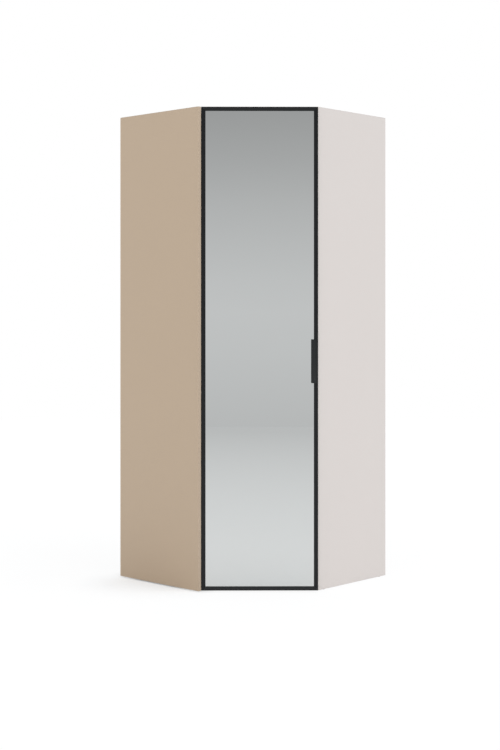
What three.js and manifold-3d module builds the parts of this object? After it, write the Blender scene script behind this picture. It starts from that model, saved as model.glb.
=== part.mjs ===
// Corner wardrobe with five sides and one mirror door across its slanting front.
// Units are millimetres and +Z is up. The door faces -Y and the rear corner lies at +Y.
// The origin is on the floor, under the middle of the object's box.

import * as THREE from 'three';
import { mergeVertices } from 'three/addons/utils/BufferGeometryUtils.js';
import Module from 'manifold-3d';

const wasm = await Module();
wasm.setup();

const ROOT2 = Math.SQRT2;
const QUARTER_TURN = Math.PI / 2;
const EIGHTH_TURN = Math.PI / 4;

// Driving sizes of the carcass
const wallLength = 900;
const sideDepth = 507;
const overallHeight = 2200;
const boardThickness = 18;
const backThickness = 3;
const rebateDepth = 9;
const uprightWidth = 100;

// End panel on the outside of the left side panel
const endPanelThickness = 16;
const endPanelReach = 13.5;
const endPanelTopDrop = 4;
const endPanelLift = 3;

// Fits
const fitGap = 0.3;
const seatGap = 0.1;
const pinClearance = 0.15;
const cutOverrun = 1;
const mergeTolerance = 0.001;

// Glides
const glideHeight = 2;
const glideRadius = 7;
const glideInset = 45;

// Hat shelf and its supports
const hatSpaceHeight = 330;
const shelfSetback = 25;
const supportReach = 20;
const supportDrop = 25;
const supportThickness = 3;
const supportLength = 30;
const supportInset = 60;

// Hanging rail and its brackets
const railLength = 840;
const railWidth = 15;
const railHeight = 30;
const railWall = 1.5;
const railDrop = 62;
const railSetback = 330;
const railEndGap = 1;
const bracketThickness = 12;
const bracketFloor = 3;
const bracketRim = 4;
const bracketFlangeWidth = 58;
const bracketFlangeThickness = 4;

// Door reveals against the carcass
const doorReveal = 4;
const handleSideReveal = 3.5;
const hingeSideLap = 1.5;

// Door frame profile: a tube with two lips that hold the mirror
const frameDepth = 20;
const frameWall = 1.6;
const lipLength = 4;
const mitreGap = 0.3;
const connectorLeg = 48;

// What the frame holds, from front to back
const gasketThickness = 1;
const gasketShow = 0.6;
const mirrorThickness = 4;
const backingThickness = 3;
const glazingGap = 0.5;

// Hinges
const hingeCount = 4;
const hingeEndInset = 120;
const pinRadius = 2;
const eyeWall = 1.8;
const eyeRunningGap = 0.2;
const eyeSideGap = 0.4;
const eyeFrontGap = 1.2;
const eyeHeight = 28;
const axialGap = 0.5;
const earHeight = 12;
const webThickness = 1.7;
const neckThickness = 4;
const swingClearance = 1.2;
const plateThickness = 2.5;
const plateHeight = 52;
const plateMargin = 5;
const footStart = 8;
const footLength = 48;

// Magnet catches and bumpers
const magnetRadius = 4.5;
const magnetLength = 14;
const magnetInset = 60;
const strikeWidth = 30;
const strikeHeight = 11;
const strikeThickness = 1.2;
const strikeGap = 0.3;
const bumperRadius = 4;
const bumperInset = 60;

// Handle: an edge pull of Z section
const handleLength = 198;
const handleCentreHeight = 1038;
const handleThickness = 2;
const handleBase = 15;
const handleOverlap = 12;
const handleProjection = 12;
const handleBend = 2;

// Curves
const roundSegments = 24;
const bendSegments = 4;

// Sizes that follow from the ones above
const bodyHeight = overallHeight - glideHeight;
const bodyTop = overallHeight;
const innerFace = wallLength - boardThickness;
const mitreWidth = boardThickness * ROOT2;
const frontSum = wallLength + sideDepth;
const frontToCorner = frontSum / ROOT2;
const frontHalfWidth = (wallLength - sideDepth) / ROOT2;
const backInner = backThickness + fitGap;
const boardLimit = innerFace - fitGap;
const backLimit = innerFace + rebateDepth - fitGap;

const eyeRadius = pinRadius + eyeRunningGap + eyeWall;
const hingeInset = frameWall + eyeSideGap + eyeRadius;
const hingeDepth = frameWall + eyeFrontGap + eyeRadius;
const webStart = hingeInset + eyeRadius + eyeSideGap;
const tubeWidth = webStart + webThickness + fitGap + frameWall;
const frameFace = tubeWidth + lipLength;
const rearSwing = hingeDepth + Math.hypot(hingeInset, frameDepth - hingeDepth);
const doorGap = rearSwing - frameDepth + swingClearance;

const doorWidth = 2 * frontHalfWidth - mitreWidth + hingeSideLap - handleSideReveal;
const doorHeight = bodyHeight - 2 * doorReveal;
const doorBottom = glideHeight + doorReveal;
const doorLeft = -frontHalfWidth + mitreWidth - hingeSideLap;

const totalDepth = frontToCorner + doorGap + frameDepth + handleProjection;
const rearCornerY = totalDepth / 2;
const bodyFrontY = rearCornerY - frontToCorner;
const doorFrontY = bodyFrontY - doorGap - frameDepth;
const bodyPlane = frameDepth + doorGap;

const bottomTop = glideHeight + boardThickness;
const topUnderside = bodyTop - boardThickness;
const shelfTop = topUnderside - hatSpaceHeight;
const shelfUnderside = shelfTop - boardThickness;

const gasketFront = frameWall + seatGap;
const mirrorFront = gasketFront + gasketThickness + seatGap;
const backingFront = mirrorFront + mirrorThickness + seatGap;
const grooveBack = backingFront + backingThickness + seatGap;
const glazingInset = tubeWidth + glazingGap;

// Finishes
function finish(colour, roughness, metalness) {
  return new THREE.MeshStandardMaterial({ color: colour, roughness, metalness });
}

const beigeBoard = finish('#bcaa94', 0.55, 0);
const paleBoard = finish('#dbd6d2', 0.55, 0);
const thinBoard = finish('#d6d0ca', 0.7, 0);
const blackAluminium = finish('#2d2f31', 0.45, 0.3);
const mirrorGlass = finish('#c4c9c8', 0.05, 1);
const brownBoard = finish('#7a6248', 0.8, 0);
const blackRubber = finish('#1c1c1d', 0.8, 0);
const brightSteel = finish('#b9bcbe', 0.3, 1);
const zincCasting = finish('#9ea1a3', 0.45, 0.8);
const greyPlastic = finish('#8c8c8a', 0.6, 0);
const clearSilicone = finish('#d9dcdd', 0.4, 0);

// Geometry helpers
function shapeOf(points) {
  return new THREE.Shape(points.map(([x, y]) => new THREE.Vector2(x, y)));
}

function extrude(shape, depth) {
  return new THREE.ExtrudeGeometry(shape, { depth, bevelEnabled: false, curveSegments: bendSegments });
}

function mergedPositions(geometry) {
  const bare = geometry.clone();
  bare.deleteAttribute('normal');
  bare.deleteAttribute('uv');
  return mergeVertices(bare, mergeTolerance);
}

function signedVolume(geometry) {
  const places = geometry.attributes.position;
  const order = geometry.index;
  const a = new THREE.Vector3();
  const b = new THREE.Vector3();
  const c = new THREE.Vector3();
  let sum = 0;
  for (let i = 0; i < order.count; i += 3) {
    a.fromBufferAttribute(places, order.getX(i));
    b.fromBufferAttribute(places, order.getX(i + 1));
    c.fromBufferAttribute(places, order.getX(i + 2));
    sum += a.dot(b.cross(c));
  }
  return sum;
}

// Moves every corner of a solid by a rule, and turns its faces outwards again where the rule mirrors it
function remap(geometry, rule) {
  const solid = mergedPositions(geometry);
  const places = solid.attributes.position;
  for (let i = 0; i < places.count; i += 1) {
    const [x, y, z] = rule(places.getX(i), places.getY(i), places.getZ(i));
    places.setXYZ(i, x, y, z);
  }
  if (signedVolume(solid) < 0) {
    const order = solid.index;
    for (let i = 0; i < order.count; i += 3) {
      const second = order.getX(i + 1);
      order.setX(i + 1, order.getX(i + 2));
      order.setX(i + 2, second);
    }
  }
  return solid;
}

function toSolid(geometry) {
  const merged = mergedPositions(geometry);
  return new wasm.Manifold(new wasm.Mesh({
    numProp: 3,
    vertProperties: new Float32Array(merged.attributes.position.array),
    triVerts: new Uint32Array(merged.index.array),
  }));
}

function toGeometry(solid) {
  const mesh = solid.getMesh();
  const geometry = new THREE.BufferGeometry();
  geometry.setAttribute('position', new THREE.BufferAttribute(new Float32Array(mesh.vertProperties), 3));
  geometry.setIndex(new THREE.BufferAttribute(new Uint32Array(mesh.triVerts), 1));
  geometry.computeVertexNormals();
  return geometry;
}

function cutAway(geometry, cutters) {
  return toGeometry(cutters.reduce((solid, cutter) => solid.subtract(toSolid(cutter)), toSolid(geometry)));
}

function joined([first, ...others]) {
  return toGeometry(others.reduce((solid, next) => solid.add(toSolid(next)), toSolid(first)));
}

function boxBetween(low, high) {
  const size = high.map((value, axis) => value - low[axis]);
  const box = new THREE.BoxGeometry(...size);
  return box.translate(...low.map((value, axis) => value + size[axis] / 2));
}

// A round bar along Y, from one depth to another
function barAlongY(x, z, radius, front, back) {
  const bar = new THREE.CylinderGeometry(radius, radius, back - front, roundSegments);
  return bar.translate(x, (front + back) / 2, z);
}

// A round bar along Z, from one height to another
function barAlongZ(x, y, radius, bottom, top) {
  const bar = new THREE.CylinderGeometry(radius, radius, top - bottom, roundSegments);
  return bar.rotateX(QUARTER_TURN).translate(x, y, (bottom + top) / 2);
}

function piece(name, geometry, material) {
  const mesh = new THREE.Mesh(geometry, material);
  mesh.name = name;
  return mesh;
}

// Plan places: p runs along the left wall and q along the right wall, both from the rear corner
function planPoint([p, q]) {
  return [(q - p) / ROOT2, rearCornerY - (p + q) / ROOT2];
}

function swapWalls(outline) {
  return outline.map(([p, q]) => [q, p]);
}

function board(name, outline, bottom, top, material) {
  const mesh = piece(name, extrude(shapeOf(outline.map(planPoint)), top - bottom), material);
  mesh.position.z = bottom;
  return mesh;
}

// Side panels, with the front edge cut parallel to the door and a rebate for the back panel
function sidePanels() {
  const outline = [
    [wallLength, 0],
    [wallLength, sideDepth],
    [innerFace, sideDepth + boardThickness],
    [innerFace, backInner],
    [innerFace + rebateDepth, backInner],
    [innerFace + rebateDepth, 0],
  ];
  return [
    board('left_side_panel', outline, glideHeight, bodyTop, paleBoard),
    board('right_side_panel', swapWalls(outline), glideHeight, bodyTop, paleBoard),
  ];
}

// The end panel's square front edge stands beside the door's, and its rear edge keeps clear of the wall
function endPanel() {
  const inner = wallLength + seatGap;
  const outer = inner + endPanelThickness;
  const rear = outer - wallLength;
  const front = sideDepth + boardThickness + endPanelReach;
  const outline = [[outer, rear], [outer, front], [inner, front], [inner, rear]];
  const bottom = glideHeight + endPanelLift;
  return [board('left_end_panel', outline, bottom, bodyTop - endPanelTopDrop, beigeBoard)];
}

function backPanels() {
  const left = [[0, 0], [backLimit, 0], [backLimit, backThickness], [0, backThickness]];
  const right = [[0, backInner], [0, backLimit], [backThickness, backLimit], [backThickness, backInner]];
  return [
    board('left_back_panel', left, glideHeight, bodyTop, thinBoard),
    board('right_back_panel', right, glideHeight, bodyTop, thinBoard),
  ];
}

// Two boards that stand in the rear corner, at right angles
function cornerUprights() {
  const face = backInner + boardThickness;
  const end = backInner + uprightWidth;
  const left = [[backInner, backInner], [end, backInner], [end, face], [backInner, face]];
  const right = [[backInner, face + fitGap], [face, face + fitGap], [face, end], [backInner, end]];
  return [
    board('corner_upright_left', left, bottomTop, topUnderside, paleBoard),
    board('corner_upright_right', right, bottomTop, topUnderside, paleBoard),
  ];
}

function fivesidedOutline(front) {
  return [
    [backInner, backInner],
    [boardLimit, backInner],
    [boardLimit, front - boardLimit],
    [front - boardLimit, boardLimit],
    [backInner, boardLimit],
  ];
}

// Where the push-in magnets sit along the front, and how deep
const magnetX = frontHalfWidth - mitreWidth - magnetInset;
const magnetFrontY = doorFrontY + frameDepth + seatGap + strikeThickness + strikeGap;

function boardWithMagnetHole(name, bottom) {
  const plain = extrude(shapeOf(fivesidedOutline(frontSum).map(planPoint)), boardThickness);
  const hole = barAlongY(
    magnetX, boardThickness / 2, magnetRadius + pinClearance,
    bodyFrontY - cutOverrun, magnetFrontY + magnetLength + seatGap,
  );
  const mesh = piece(name, cutAway(plain, [hole]), paleBoard);
  mesh.position.z = bottom;
  return mesh;
}

function magnet(name, boardBottom) {
  const bar = barAlongY(magnetX, 0, magnetRadius, magnetFrontY, magnetFrontY + magnetLength);
  const mesh = piece(name, bar, brightSteel);
  mesh.position.z = boardBottom + boardThickness / 2;
  return mesh;
}

function topAndBottom() {
  return [
    boardWithMagnetHole('bottom_panel', glideHeight),
    boardWithMagnetHole('top_panel', topUnderside),
    magnet('magnet_bottom', glideHeight),
    magnet('magnet_top', topUnderside),
  ];
}

// The hat shelf stands back from the front and is notched round the corner uprights
function hatShelf() {
  const front = frontSum - shelfSetback * ROOT2;
  const notchEnd = backInner + uprightWidth + fitGap;
  const notchFace = backInner + boardThickness + fitGap;
  const outline = [
    [notchEnd, backInner],
    [boardLimit, backInner],
    [boardLimit, front - boardLimit],
    [front - boardLimit, boardLimit],
    [backInner, boardLimit],
    [backInner, notchEnd],
    [notchFace, notchEnd],
    [notchFace, notchFace],
    [notchEnd, notchFace],
  ];
  return [board('hat_shelf', outline, shelfUnderside, shelfTop, paleBoard)];
}

// A frame of reference on a panel's inner face: x leaves the panel and y runs back along it
function facingGroup([x, y], turn) {
  const group = new THREE.Group();
  group.position.set(x, y, 0);
  group.rotation.z = turn;
  return group;
}

function leftPanelGroup() {
  return facingGroup(planPoint([innerFace, sideDepth + boardThickness]), EIGHTH_TURN);
}

function rightPanelGroup() {
  return facingGroup(planPoint([sideDepth + boardThickness, innerFace]), -EIGHTH_TURN);
}

// An angle under the shelf. reach is +1 where x leaves the panel and -1 where it is mirrored
function shelfSupport(name, along, reach) {
  const section = shapeOf([
    [fitGap, -supportDrop],
    [fitGap + supportThickness, -supportDrop],
    [fitGap + supportThickness, -supportThickness],
    [supportReach, -supportThickness],
    [supportReach, 0],
    [fitGap, 0],
  ]);
  const angle = remap(extrude(section, supportLength), (x, z, y) => [reach * x, along + y, z]);
  const mesh = piece(name, angle, greyPlastic);
  mesh.position.z = shelfUnderside;
  return mesh;
}

function shelfSupports() {
  const rear = sideDepth - supportInset;
  const front = supportInset + shelfSetback;
  const left = leftPanelGroup();
  left.add(shelfSupport('shelf_support_left_front', front, 1));
  left.add(shelfSupport('shelf_support_left_rear', rear, 1));
  const right = rightPanelGroup();
  right.add(shelfSupport('shelf_support_right_front', front, -1));
  right.add(shelfSupport('shelf_support_right_rear', rear, -1));
  const face = backInner + boardThickness;
  const outerEnd = backInner + uprightWidth - supportThickness;
  const leftCorner = facingGroup(planPoint([outerEnd, face]), -EIGHTH_TURN);
  leftCorner.add(shelfSupport('shelf_support_corner_left', 0, 1));
  const rightCorner = facingGroup(planPoint([face, outerEnd]), EIGHTH_TURN);
  rightCorner.add(shelfSupport('shelf_support_corner_right', 0, -1));
  return [left, right, leftCorner, rightCorner];
}

function glides() {
  const middle = wallLength - boardThickness / 2;
  const places = [
    ['glide_left_front', [middle, sideDepth - glideInset]],
    ['glide_left_rear', [middle, glideInset]],
    ['glide_right_front', [sideDepth - glideInset, middle]],
    ['glide_right_rear', [glideInset, middle]],
    ['glide_corner', [glideInset, glideInset]],
  ];
  return places.map(([name, place]) => {
    const [x, y] = planPoint(place);
    return piece(name, barAlongZ(x, y, glideRadius, 0, glideHeight), greyPlastic);
  });
}

// An upright outline with round ends, for the oval rail and what holds it
function ovalOutline(width, height, path) {
  const radius = width / 2;
  const straight = height / 2 - radius;
  const oval = path ?? new THREE.Shape();
  oval.moveTo(radius, -straight);
  oval.absarc(0, straight, radius, 0, Math.PI, false);
  oval.absarc(0, -straight, radius, Math.PI, 2 * Math.PI, false);
  return oval;
}

function extrudeAlongX(shape, from, to) {
  const geometry = new THREE.ExtrudeGeometry(
    shape, { depth: to - from, bevelEnabled: false, curveSegments: roundSegments / 2 },
  );
  return remap(geometry, (y, z, x) => [from + x, y, z]);
}

function railBracket(name, side) {
  const reach = railLength / 2;
  const inner = reach - (bracketThickness - bracketFloor - railEndGap);
  const outer = inner + bracketThickness;
  const outerWidth = railWidth + 2 * (bracketRim + fitGap);
  const outerHeight = railHeight + 2 * (bracketRim + fitGap);
  const cup = extrudeAlongX(ovalOutline(outerWidth, outerHeight), inner, outer);
  const strap = boxBetween([inner, -outerWidth / 2, 0], [outer, outerWidth / 2, railDrop]);
  const flange = boxBetween(
    [inner, -bracketFlangeWidth / 2, railDrop - bracketFlangeThickness],
    [outer, bracketFlangeWidth / 2, railDrop],
  );
  const pocketShape = ovalOutline(railWidth + 2 * fitGap, railHeight + 2 * fitGap);
  const pocket = extrudeAlongX(pocketShape, inner - cutOverrun, outer - bracketFloor);
  const whole = cutAway(joined([cup, strap, flange]), [pocket]);
  const placed = side > 0 ? whole : remap(whole, (x, y, z) => [-x, y, z]);
  return piece(name, placed, brightSteel);
}

function hangingRail() {
  const section = ovalOutline(railWidth, railHeight);
  section.holes.push(ovalOutline(railWidth - 2 * railWall, railHeight - 2 * railWall, new THREE.Path()));
  const group = new THREE.Group();
  group.position.set(0, bodyFrontY + railSetback, shelfUnderside - railDrop);
  group.add(
    piece('hanging_rail', extrudeAlongX(section, -railLength / 2, railLength / 2), brightSteel),
    railBracket('rail_bracket_left', -1),
    railBracket('rail_bracket_right', 1),
  );
  return group;
}

// The places of the hinges up the door, from its bottom edge
function hingeHeights() {
  const pitch = (doorHeight - 2 * hingeEndInset) / (hingeCount - 1);
  return Array.from({ length: hingeCount }, (_, i) => hingeEndInset + i * pitch);
}

// A plan place beside the hinge side panel: s runs back along its inner face and n leaves it.
// It is given in the door's places, across from the door's left edge and back from its front.
function besidePanel(s, n) {
  return [hingeSideLap + (n - s) / ROOT2, bodyPlane + (n + s) / ROOT2];
}

// The swan-neck arm: an eye round the pin, a neck straight back, and a foot along the side panel
function armGeometry() {
  const half = neckThickness / 2;
  const footFace = fitGap + plateThickness + fitGap;
  const throat = (hingeInset - half - hingeSideLap) * ROOT2 + footStart;
  const outerFace = throat + neckThickness;
  const outerStart = outerFace - (hingeInset + half - hingeSideLap) * ROOT2;
  const footEnd = footStart + footLength;
  const opening = Math.asin(half / eyeRadius);
  const arm = new THREE.Shape();
  arm.moveTo(hingeInset + half, hingeDepth + Math.sqrt(eyeRadius ** 2 - half ** 2));
  arm.lineTo(...besidePanel(outerStart - neckThickness, outerFace - neckThickness));
  arm.quadraticCurveTo(
    ...besidePanel(outerStart, outerFace),
    ...besidePanel(outerStart + neckThickness, outerFace),
  );
  arm.lineTo(...besidePanel(footEnd - neckThickness, outerFace));
  arm.quadraticCurveTo(
    ...besidePanel(footEnd, outerFace),
    ...besidePanel(footEnd, outerFace - neckThickness),
  );
  arm.lineTo(...besidePanel(footEnd, footFace));
  arm.lineTo(...besidePanel(footStart, footFace));
  arm.lineTo(...besidePanel(footStart, throat));
  arm.absarc(hingeInset, hingeDepth, eyeRadius, QUARTER_TURN + opening, 5 * QUARTER_TURN - opening, false);
  const bore = new THREE.Path();
  bore.absarc(hingeInset, hingeDepth, pinRadius + eyeRunningGap, 0, 4 * QUARTER_TURN, false);
  arm.holes.push(bore);
  const geometry = new THREE.ExtrudeGeometry(
    arm, { depth: eyeHeight, bevelEnabled: false, curveSegments: roundSegments / 2 },
  );
  return geometry.translate(0, 0, -eyeHeight / 2);
}

// The fixed halves of the hinges stand in the door's places, but belong to the carcass
function fixedHingeHalves() {
  const arms = new THREE.Group();
  arms.position.set(doorLeft, doorFrontY, doorBottom);
  const plates = leftPanelGroup();
  plates.position.z = doorBottom;
  hingeHeights().forEach((height, i) => {
    const arm = piece(`hinge_arm_${i + 1}`, armGeometry(), zincCasting);
    arm.position.z = height;
    arms.add(arm);
    const plate = boxBetween(
      [fitGap, footStart - plateMargin, -plateHeight / 2],
      [fitGap + plateThickness, footStart + footLength + plateMargin, plateHeight / 2],
    );
    const plateMesh = piece(`hinge_plate_${i + 1}`, plate, zincCasting);
    plateMesh.position.z = height;
    plates.add(plateMesh);
  });
  return [arms, plates];
}

// The frame's section: across is measured in from the door's outer edge, and depth back from its front
function frameSection() {
  const section = shapeOf([
    [0, 0],
    [frameFace, 0],
    [frameFace, frameWall],
    [tubeWidth, frameWall],
    [tubeWidth, grooveBack],
    [frameFace, grooveBack],
    [frameFace, grooveBack + frameWall],
    [tubeWidth, grooveBack + frameWall],
    [tubeWidth, frameDepth],
    [0, frameDepth],
  ]);
  section.holes.push(new THREE.Path([
    [frameWall, frameWall],
    [frameWall, frameDepth - frameWall],
    [tubeWidth - frameWall, frameDepth - frameWall],
    [tubeWidth - frameWall, frameWall],
  ].map(([x, y]) => new THREE.Vector2(x, y))));
  return section;
}

// A length of the section with mitred ends. The rule puts across, depth and along into the door's places
function mitredProfile(length, rule) {
  const shift = mitreGap / ROOT2;
  return remap(extrude(frameSection(), length), (across, depth, along) => {
    const atStart = along < length / 2;
    return rule(across, depth, atStart ? across + shift : length - across - shift);
  });
}

function hingeStile() {
  const plain = mitredProfile(doorHeight, (across, depth, along) => [across, depth, along]);
  const half = eyeHeight / 2 + axialGap;
  const notches = hingeHeights().map((height) => boxBetween(
    [-cutOverrun, hingeDepth - eyeRadius, height - half],
    [tubeWidth - frameWall, frameDepth + cutOverrun, height + half],
  ));
  return piece('frame_hinge_stile', cutAway(plain, notches), blackAluminium);
}

function frameProfiles() {
  const handleStile = mitredProfile(doorHeight, (across, depth, along) => [doorWidth - across, depth, along]);
  const topRail = mitredProfile(doorWidth, (across, depth, along) => [along, depth, doorHeight - across]);
  const bottomRail = mitredProfile(doorWidth, (across, depth, along) => [along, depth, across]);
  return [
    hingeStile(),
    piece('frame_handle_stile', handleStile, blackAluminium),
    piece('frame_top_rail', topRail, blackAluminium),
    piece('frame_bottom_rail', bottomRail, blackAluminium),
  ];
}

// Angles inside the profiles' chambers that hold the mitres together
function cornerConnectors() {
  const outer = frameWall + fitGap;
  const inner = tubeWidth - frameWall - fitGap;
  const angle = shapeOf([
    [outer, outer], [connectorLeg, outer], [connectorLeg, inner], [inner, inner], [inner, connectorLeg],
    [outer, connectorLeg],
  ]);
  const thick = frameDepth - 2 * (frameWall + fitGap);
  const corners = [
    ['corner_connector_bottom_left', (x) => x, (z) => z],
    ['corner_connector_bottom_right', (x) => doorWidth - x, (z) => z],
    ['corner_connector_top_left', (x) => x, (z) => doorHeight - z],
    ['corner_connector_top_right', (x) => doorWidth - x, (z) => doorHeight - z],
  ];
  return corners.map(([name, acrossRule, upRule]) => {
    const rule = (x, z, y) => [acrossRule(x), outer + y, upRule(z)];
    return piece(name, remap(extrude(angle, thick), rule), zincCasting);
  });
}

// The mirror, its backing, and the gasket that shows as a thin line inside the frame
function glazing() {
  const mirror = boxBetween(
    [glazingInset, mirrorFront, glazingInset],
    [doorWidth - glazingInset, mirrorFront + mirrorThickness, doorHeight - glazingInset],
  );
  const backing = boxBetween(
    [glazingInset, backingFront, glazingInset],
    [doorWidth - glazingInset, backingFront + backingThickness, doorHeight - glazingInset],
  );
  const gasketInner = frameFace + gasketShow;
  const ring = shapeOf([
    [glazingInset, glazingInset],
    [doorWidth - glazingInset, glazingInset],
    [doorWidth - glazingInset, doorHeight - glazingInset],
    [glazingInset, doorHeight - glazingInset],
  ]);
  ring.holes.push(new THREE.Path([
    [gasketInner, gasketInner],
    [gasketInner, doorHeight - gasketInner],
    [doorWidth - gasketInner, doorHeight - gasketInner],
    [doorWidth - gasketInner, gasketInner],
  ].map(([x, z]) => new THREE.Vector2(x, z))));
  const gasket = remap(extrude(ring, gasketThickness), (x, z, y) => [x, gasketFront + y, z]);
  return [
    piece('mirror', mirror, mirrorGlass),
    piece('mirror_backing', backing, brownBoard),
    piece('mirror_gasket', gasket, blackRubber),
  ];
}

// The bearing block slides in the stile's chamber: two ears for the pin and a web that joins them
function hingeBlockGeometry() {
  const inset = frameWall + fitGap;
  const halfGap = eyeHeight / 2 + axialGap;
  const halfHeight = halfGap + earHeight;
  const whole = boxBetween(
    [inset, inset, -halfHeight],
    [webStart + webThickness, frameDepth - inset, halfHeight],
  );
  const gap = boxBetween([0, 0, -halfGap], [webStart, frameDepth, halfGap]);
  const bore = barAlongZ(
    hingeInset, hingeDepth, pinRadius + pinClearance, -halfHeight - cutOverrun, halfHeight + cutOverrun,
  );
  return cutAway(whole, [gap, bore]);
}

function movingHingeHalves() {
  const halfHeight = eyeHeight / 2 + axialGap + earHeight;
  return hingeHeights().flatMap((height, i) => {
    const block = piece(`hinge_block_${i + 1}`, hingeBlockGeometry(), zincCasting);
    block.position.z = height;
    const bar = barAlongZ(hingeInset, hingeDepth, pinRadius, -halfHeight, halfHeight);
    const pin = piece(`hinge_pin_${i + 1}`, bar, brightSteel);
    pin.position.z = height;
    return [block, pin];
  });
}

// Strike plates for the magnets, and bumpers, on the back of the frame
function catchesAndBumpers() {
  const back = frameDepth + seatGap;
  const strikeX = magnetX - doorLeft;
  const bumperX = doorWidth - tubeWidth / 2;
  const strike = (name, height) => piece(name, boxBetween(
    [strikeX - strikeWidth / 2, back, height - strikeHeight / 2],
    [strikeX + strikeWidth / 2, back + strikeThickness, height + strikeHeight / 2],
  ), brightSteel);
  const bumper = (name, height) => piece(
    name, barAlongY(bumperX, height, bumperRadius, back, bodyPlane - fitGap), clearSilicone,
  );
  return [
    strike('strike_bottom', tubeWidth / 2),
    strike('strike_top', doorHeight - tubeWidth / 2),
    bumper('bumper_bottom', bumperInset),
    bumper('bumper_top', doorHeight - bumperInset),
  ];
}

// The edge pull: a base on the stile, a web forward, and a lip that laps over the mirror
function handle() {
  const front = -handleProjection;
  const web = handleBase - handleThickness;
  const end = frameFace + handleOverlap;
  const section = new THREE.Shape();
  section.moveTo(0, -seatGap);
  section.lineTo(handleBase, -seatGap);
  section.lineTo(handleBase, front + handleThickness);
  section.lineTo(end, front + handleThickness);
  section.lineTo(end, front);
  section.lineTo(web + handleBend, front);
  section.quadraticCurveTo(web, front, web, front + handleBend);
  section.lineTo(web, -seatGap - handleThickness - handleBend);
  section.quadraticCurveTo(
    web, -seatGap - handleThickness, web - handleBend, -seatGap - handleThickness,
  );
  section.lineTo(0, -seatGap - handleThickness);
  const bottom = handleCentreHeight - handleLength / 2;
  const pull = remap(extrude(section, handleLength), (x, y, z) => [doorWidth - x, y, bottom + z]);
  return piece('handle', pull, blackAluminium);
}

function door() {
  const group = new THREE.Group();
  group.position.set(doorLeft, doorFrontY, doorBottom);
  group.add(
    ...frameProfiles(),
    ...cornerConnectors(),
    ...glazing(),
    ...movingHingeHalves(),
    ...catchesAndBumpers(),
    handle(),
  );
  return group;
}

function carcass() {
  const group = new THREE.Group();
  group.add(
    ...sidePanels(),
    ...endPanel(),
    ...backPanels(),
    ...cornerUprights(),
    ...topAndBottom(),
    ...hatShelf(),
    ...shelfSupports(),
    ...glides(),
    hangingRail(),
    ...fixedHingeHalves(),
  );
  return group;
}

const wardrobe = new THREE.Group();
wardrobe.add(carcass(), door());

export default wardrobe;
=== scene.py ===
"""Corner wardrobe with five sides and one mirror door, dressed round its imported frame.

The frame gives each node at its real place, in metres, with +Z up and the door facing -Y. Boards,
profiles and fittings are made again from the frame's outlines with soft edges, edging, bores and
fixings, and take the place of the plain nodes. What is right as it stands only gets its finish.
"""

import logging
import math
from collections.abc import Iterable, Sequence
from dataclasses import dataclass
from enum import Enum

import bmesh
import bpy
from mathutils import Matrix, Vector
from mathutils.geometry import normal


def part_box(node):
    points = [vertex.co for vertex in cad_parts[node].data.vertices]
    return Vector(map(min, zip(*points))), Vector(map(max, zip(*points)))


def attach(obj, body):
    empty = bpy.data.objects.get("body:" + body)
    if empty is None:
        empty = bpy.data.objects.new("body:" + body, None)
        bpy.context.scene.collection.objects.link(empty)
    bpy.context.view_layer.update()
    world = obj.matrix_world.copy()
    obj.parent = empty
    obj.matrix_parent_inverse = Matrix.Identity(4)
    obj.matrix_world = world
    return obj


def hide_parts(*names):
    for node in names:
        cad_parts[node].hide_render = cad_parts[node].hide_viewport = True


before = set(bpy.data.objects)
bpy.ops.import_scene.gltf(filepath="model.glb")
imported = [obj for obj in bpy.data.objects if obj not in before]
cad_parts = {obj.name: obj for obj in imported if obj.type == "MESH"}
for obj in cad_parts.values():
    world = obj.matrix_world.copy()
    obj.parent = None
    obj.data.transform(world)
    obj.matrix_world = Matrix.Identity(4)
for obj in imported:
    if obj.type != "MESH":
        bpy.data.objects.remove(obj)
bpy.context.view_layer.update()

LOG = logging.getLogger("corner_wardrobe")

Item = bpy.types.Object
Mesh = bmesh.types.BMesh
Socket = bpy.types.NodeSocket
Tree = bpy.types.NodeTree
Colour = tuple[float, float, float]
Pair = tuple[float, float]
Outline = list[Vector]
Spots = list[tuple[Vector, Vector]]
Bore = tuple[Matrix, float, float]

ARRIS, FACING = "arris", "facing"
LOWEST, HIGHEST = 0, 1
ACROSS, BACK = Vector((1, 0, 0)), Vector((0, 1, 0))
UP, DOWN = Vector((0, 0, 1)), Vector((0, 0, -1))
HALF_ROOT = math.sqrt(0.5)
UNIT: Pair = (0.0, 1.0)
WHITE: Colour = (1.0, 1.0, 1.0)

SAME_PLACE = 0.000001
SHARP_ANGLE, FLAT_ANGLE = math.radians(35), math.radians(0.6)
FLAT_SHARE = 0.999
LEAST_SLANT = 0.3
ROUND_PROFILE = 0.5

FULL_CHANNEL = 255
CHANNEL_KNEE, CHANNEL_SLOPE, CHANNEL_LIFT, CHANNEL_POWER = 0.04045, 12.92, 0.055, 2.4

CROSS_REACH_SHARE, CROSS_SLOT_SHARE, CROSS_DEPTH_SHARES = 1.05, 0.24, (1.2, 1.3)
SOCKET_REACH_SHARE, SOCKET_DEPTH_SHARE = 0.5, 1.2
HEAD_SIDES, SOCKET_SIDES = 28, 6
BEND_STEPS, CORNER_STEPS = 6, 12

# These sockets share their names with others on the same node, so they go by their places.
MIX_LOW, MIX_HIGH, MIX_RESULT = 6, 7, 2
CHANCE_HIGHEST = 3


class Body(Enum):
    """The two rigid bodies of the wardrobe."""

    CARCASS = "carcass"
    DOOR = "door"


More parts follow.
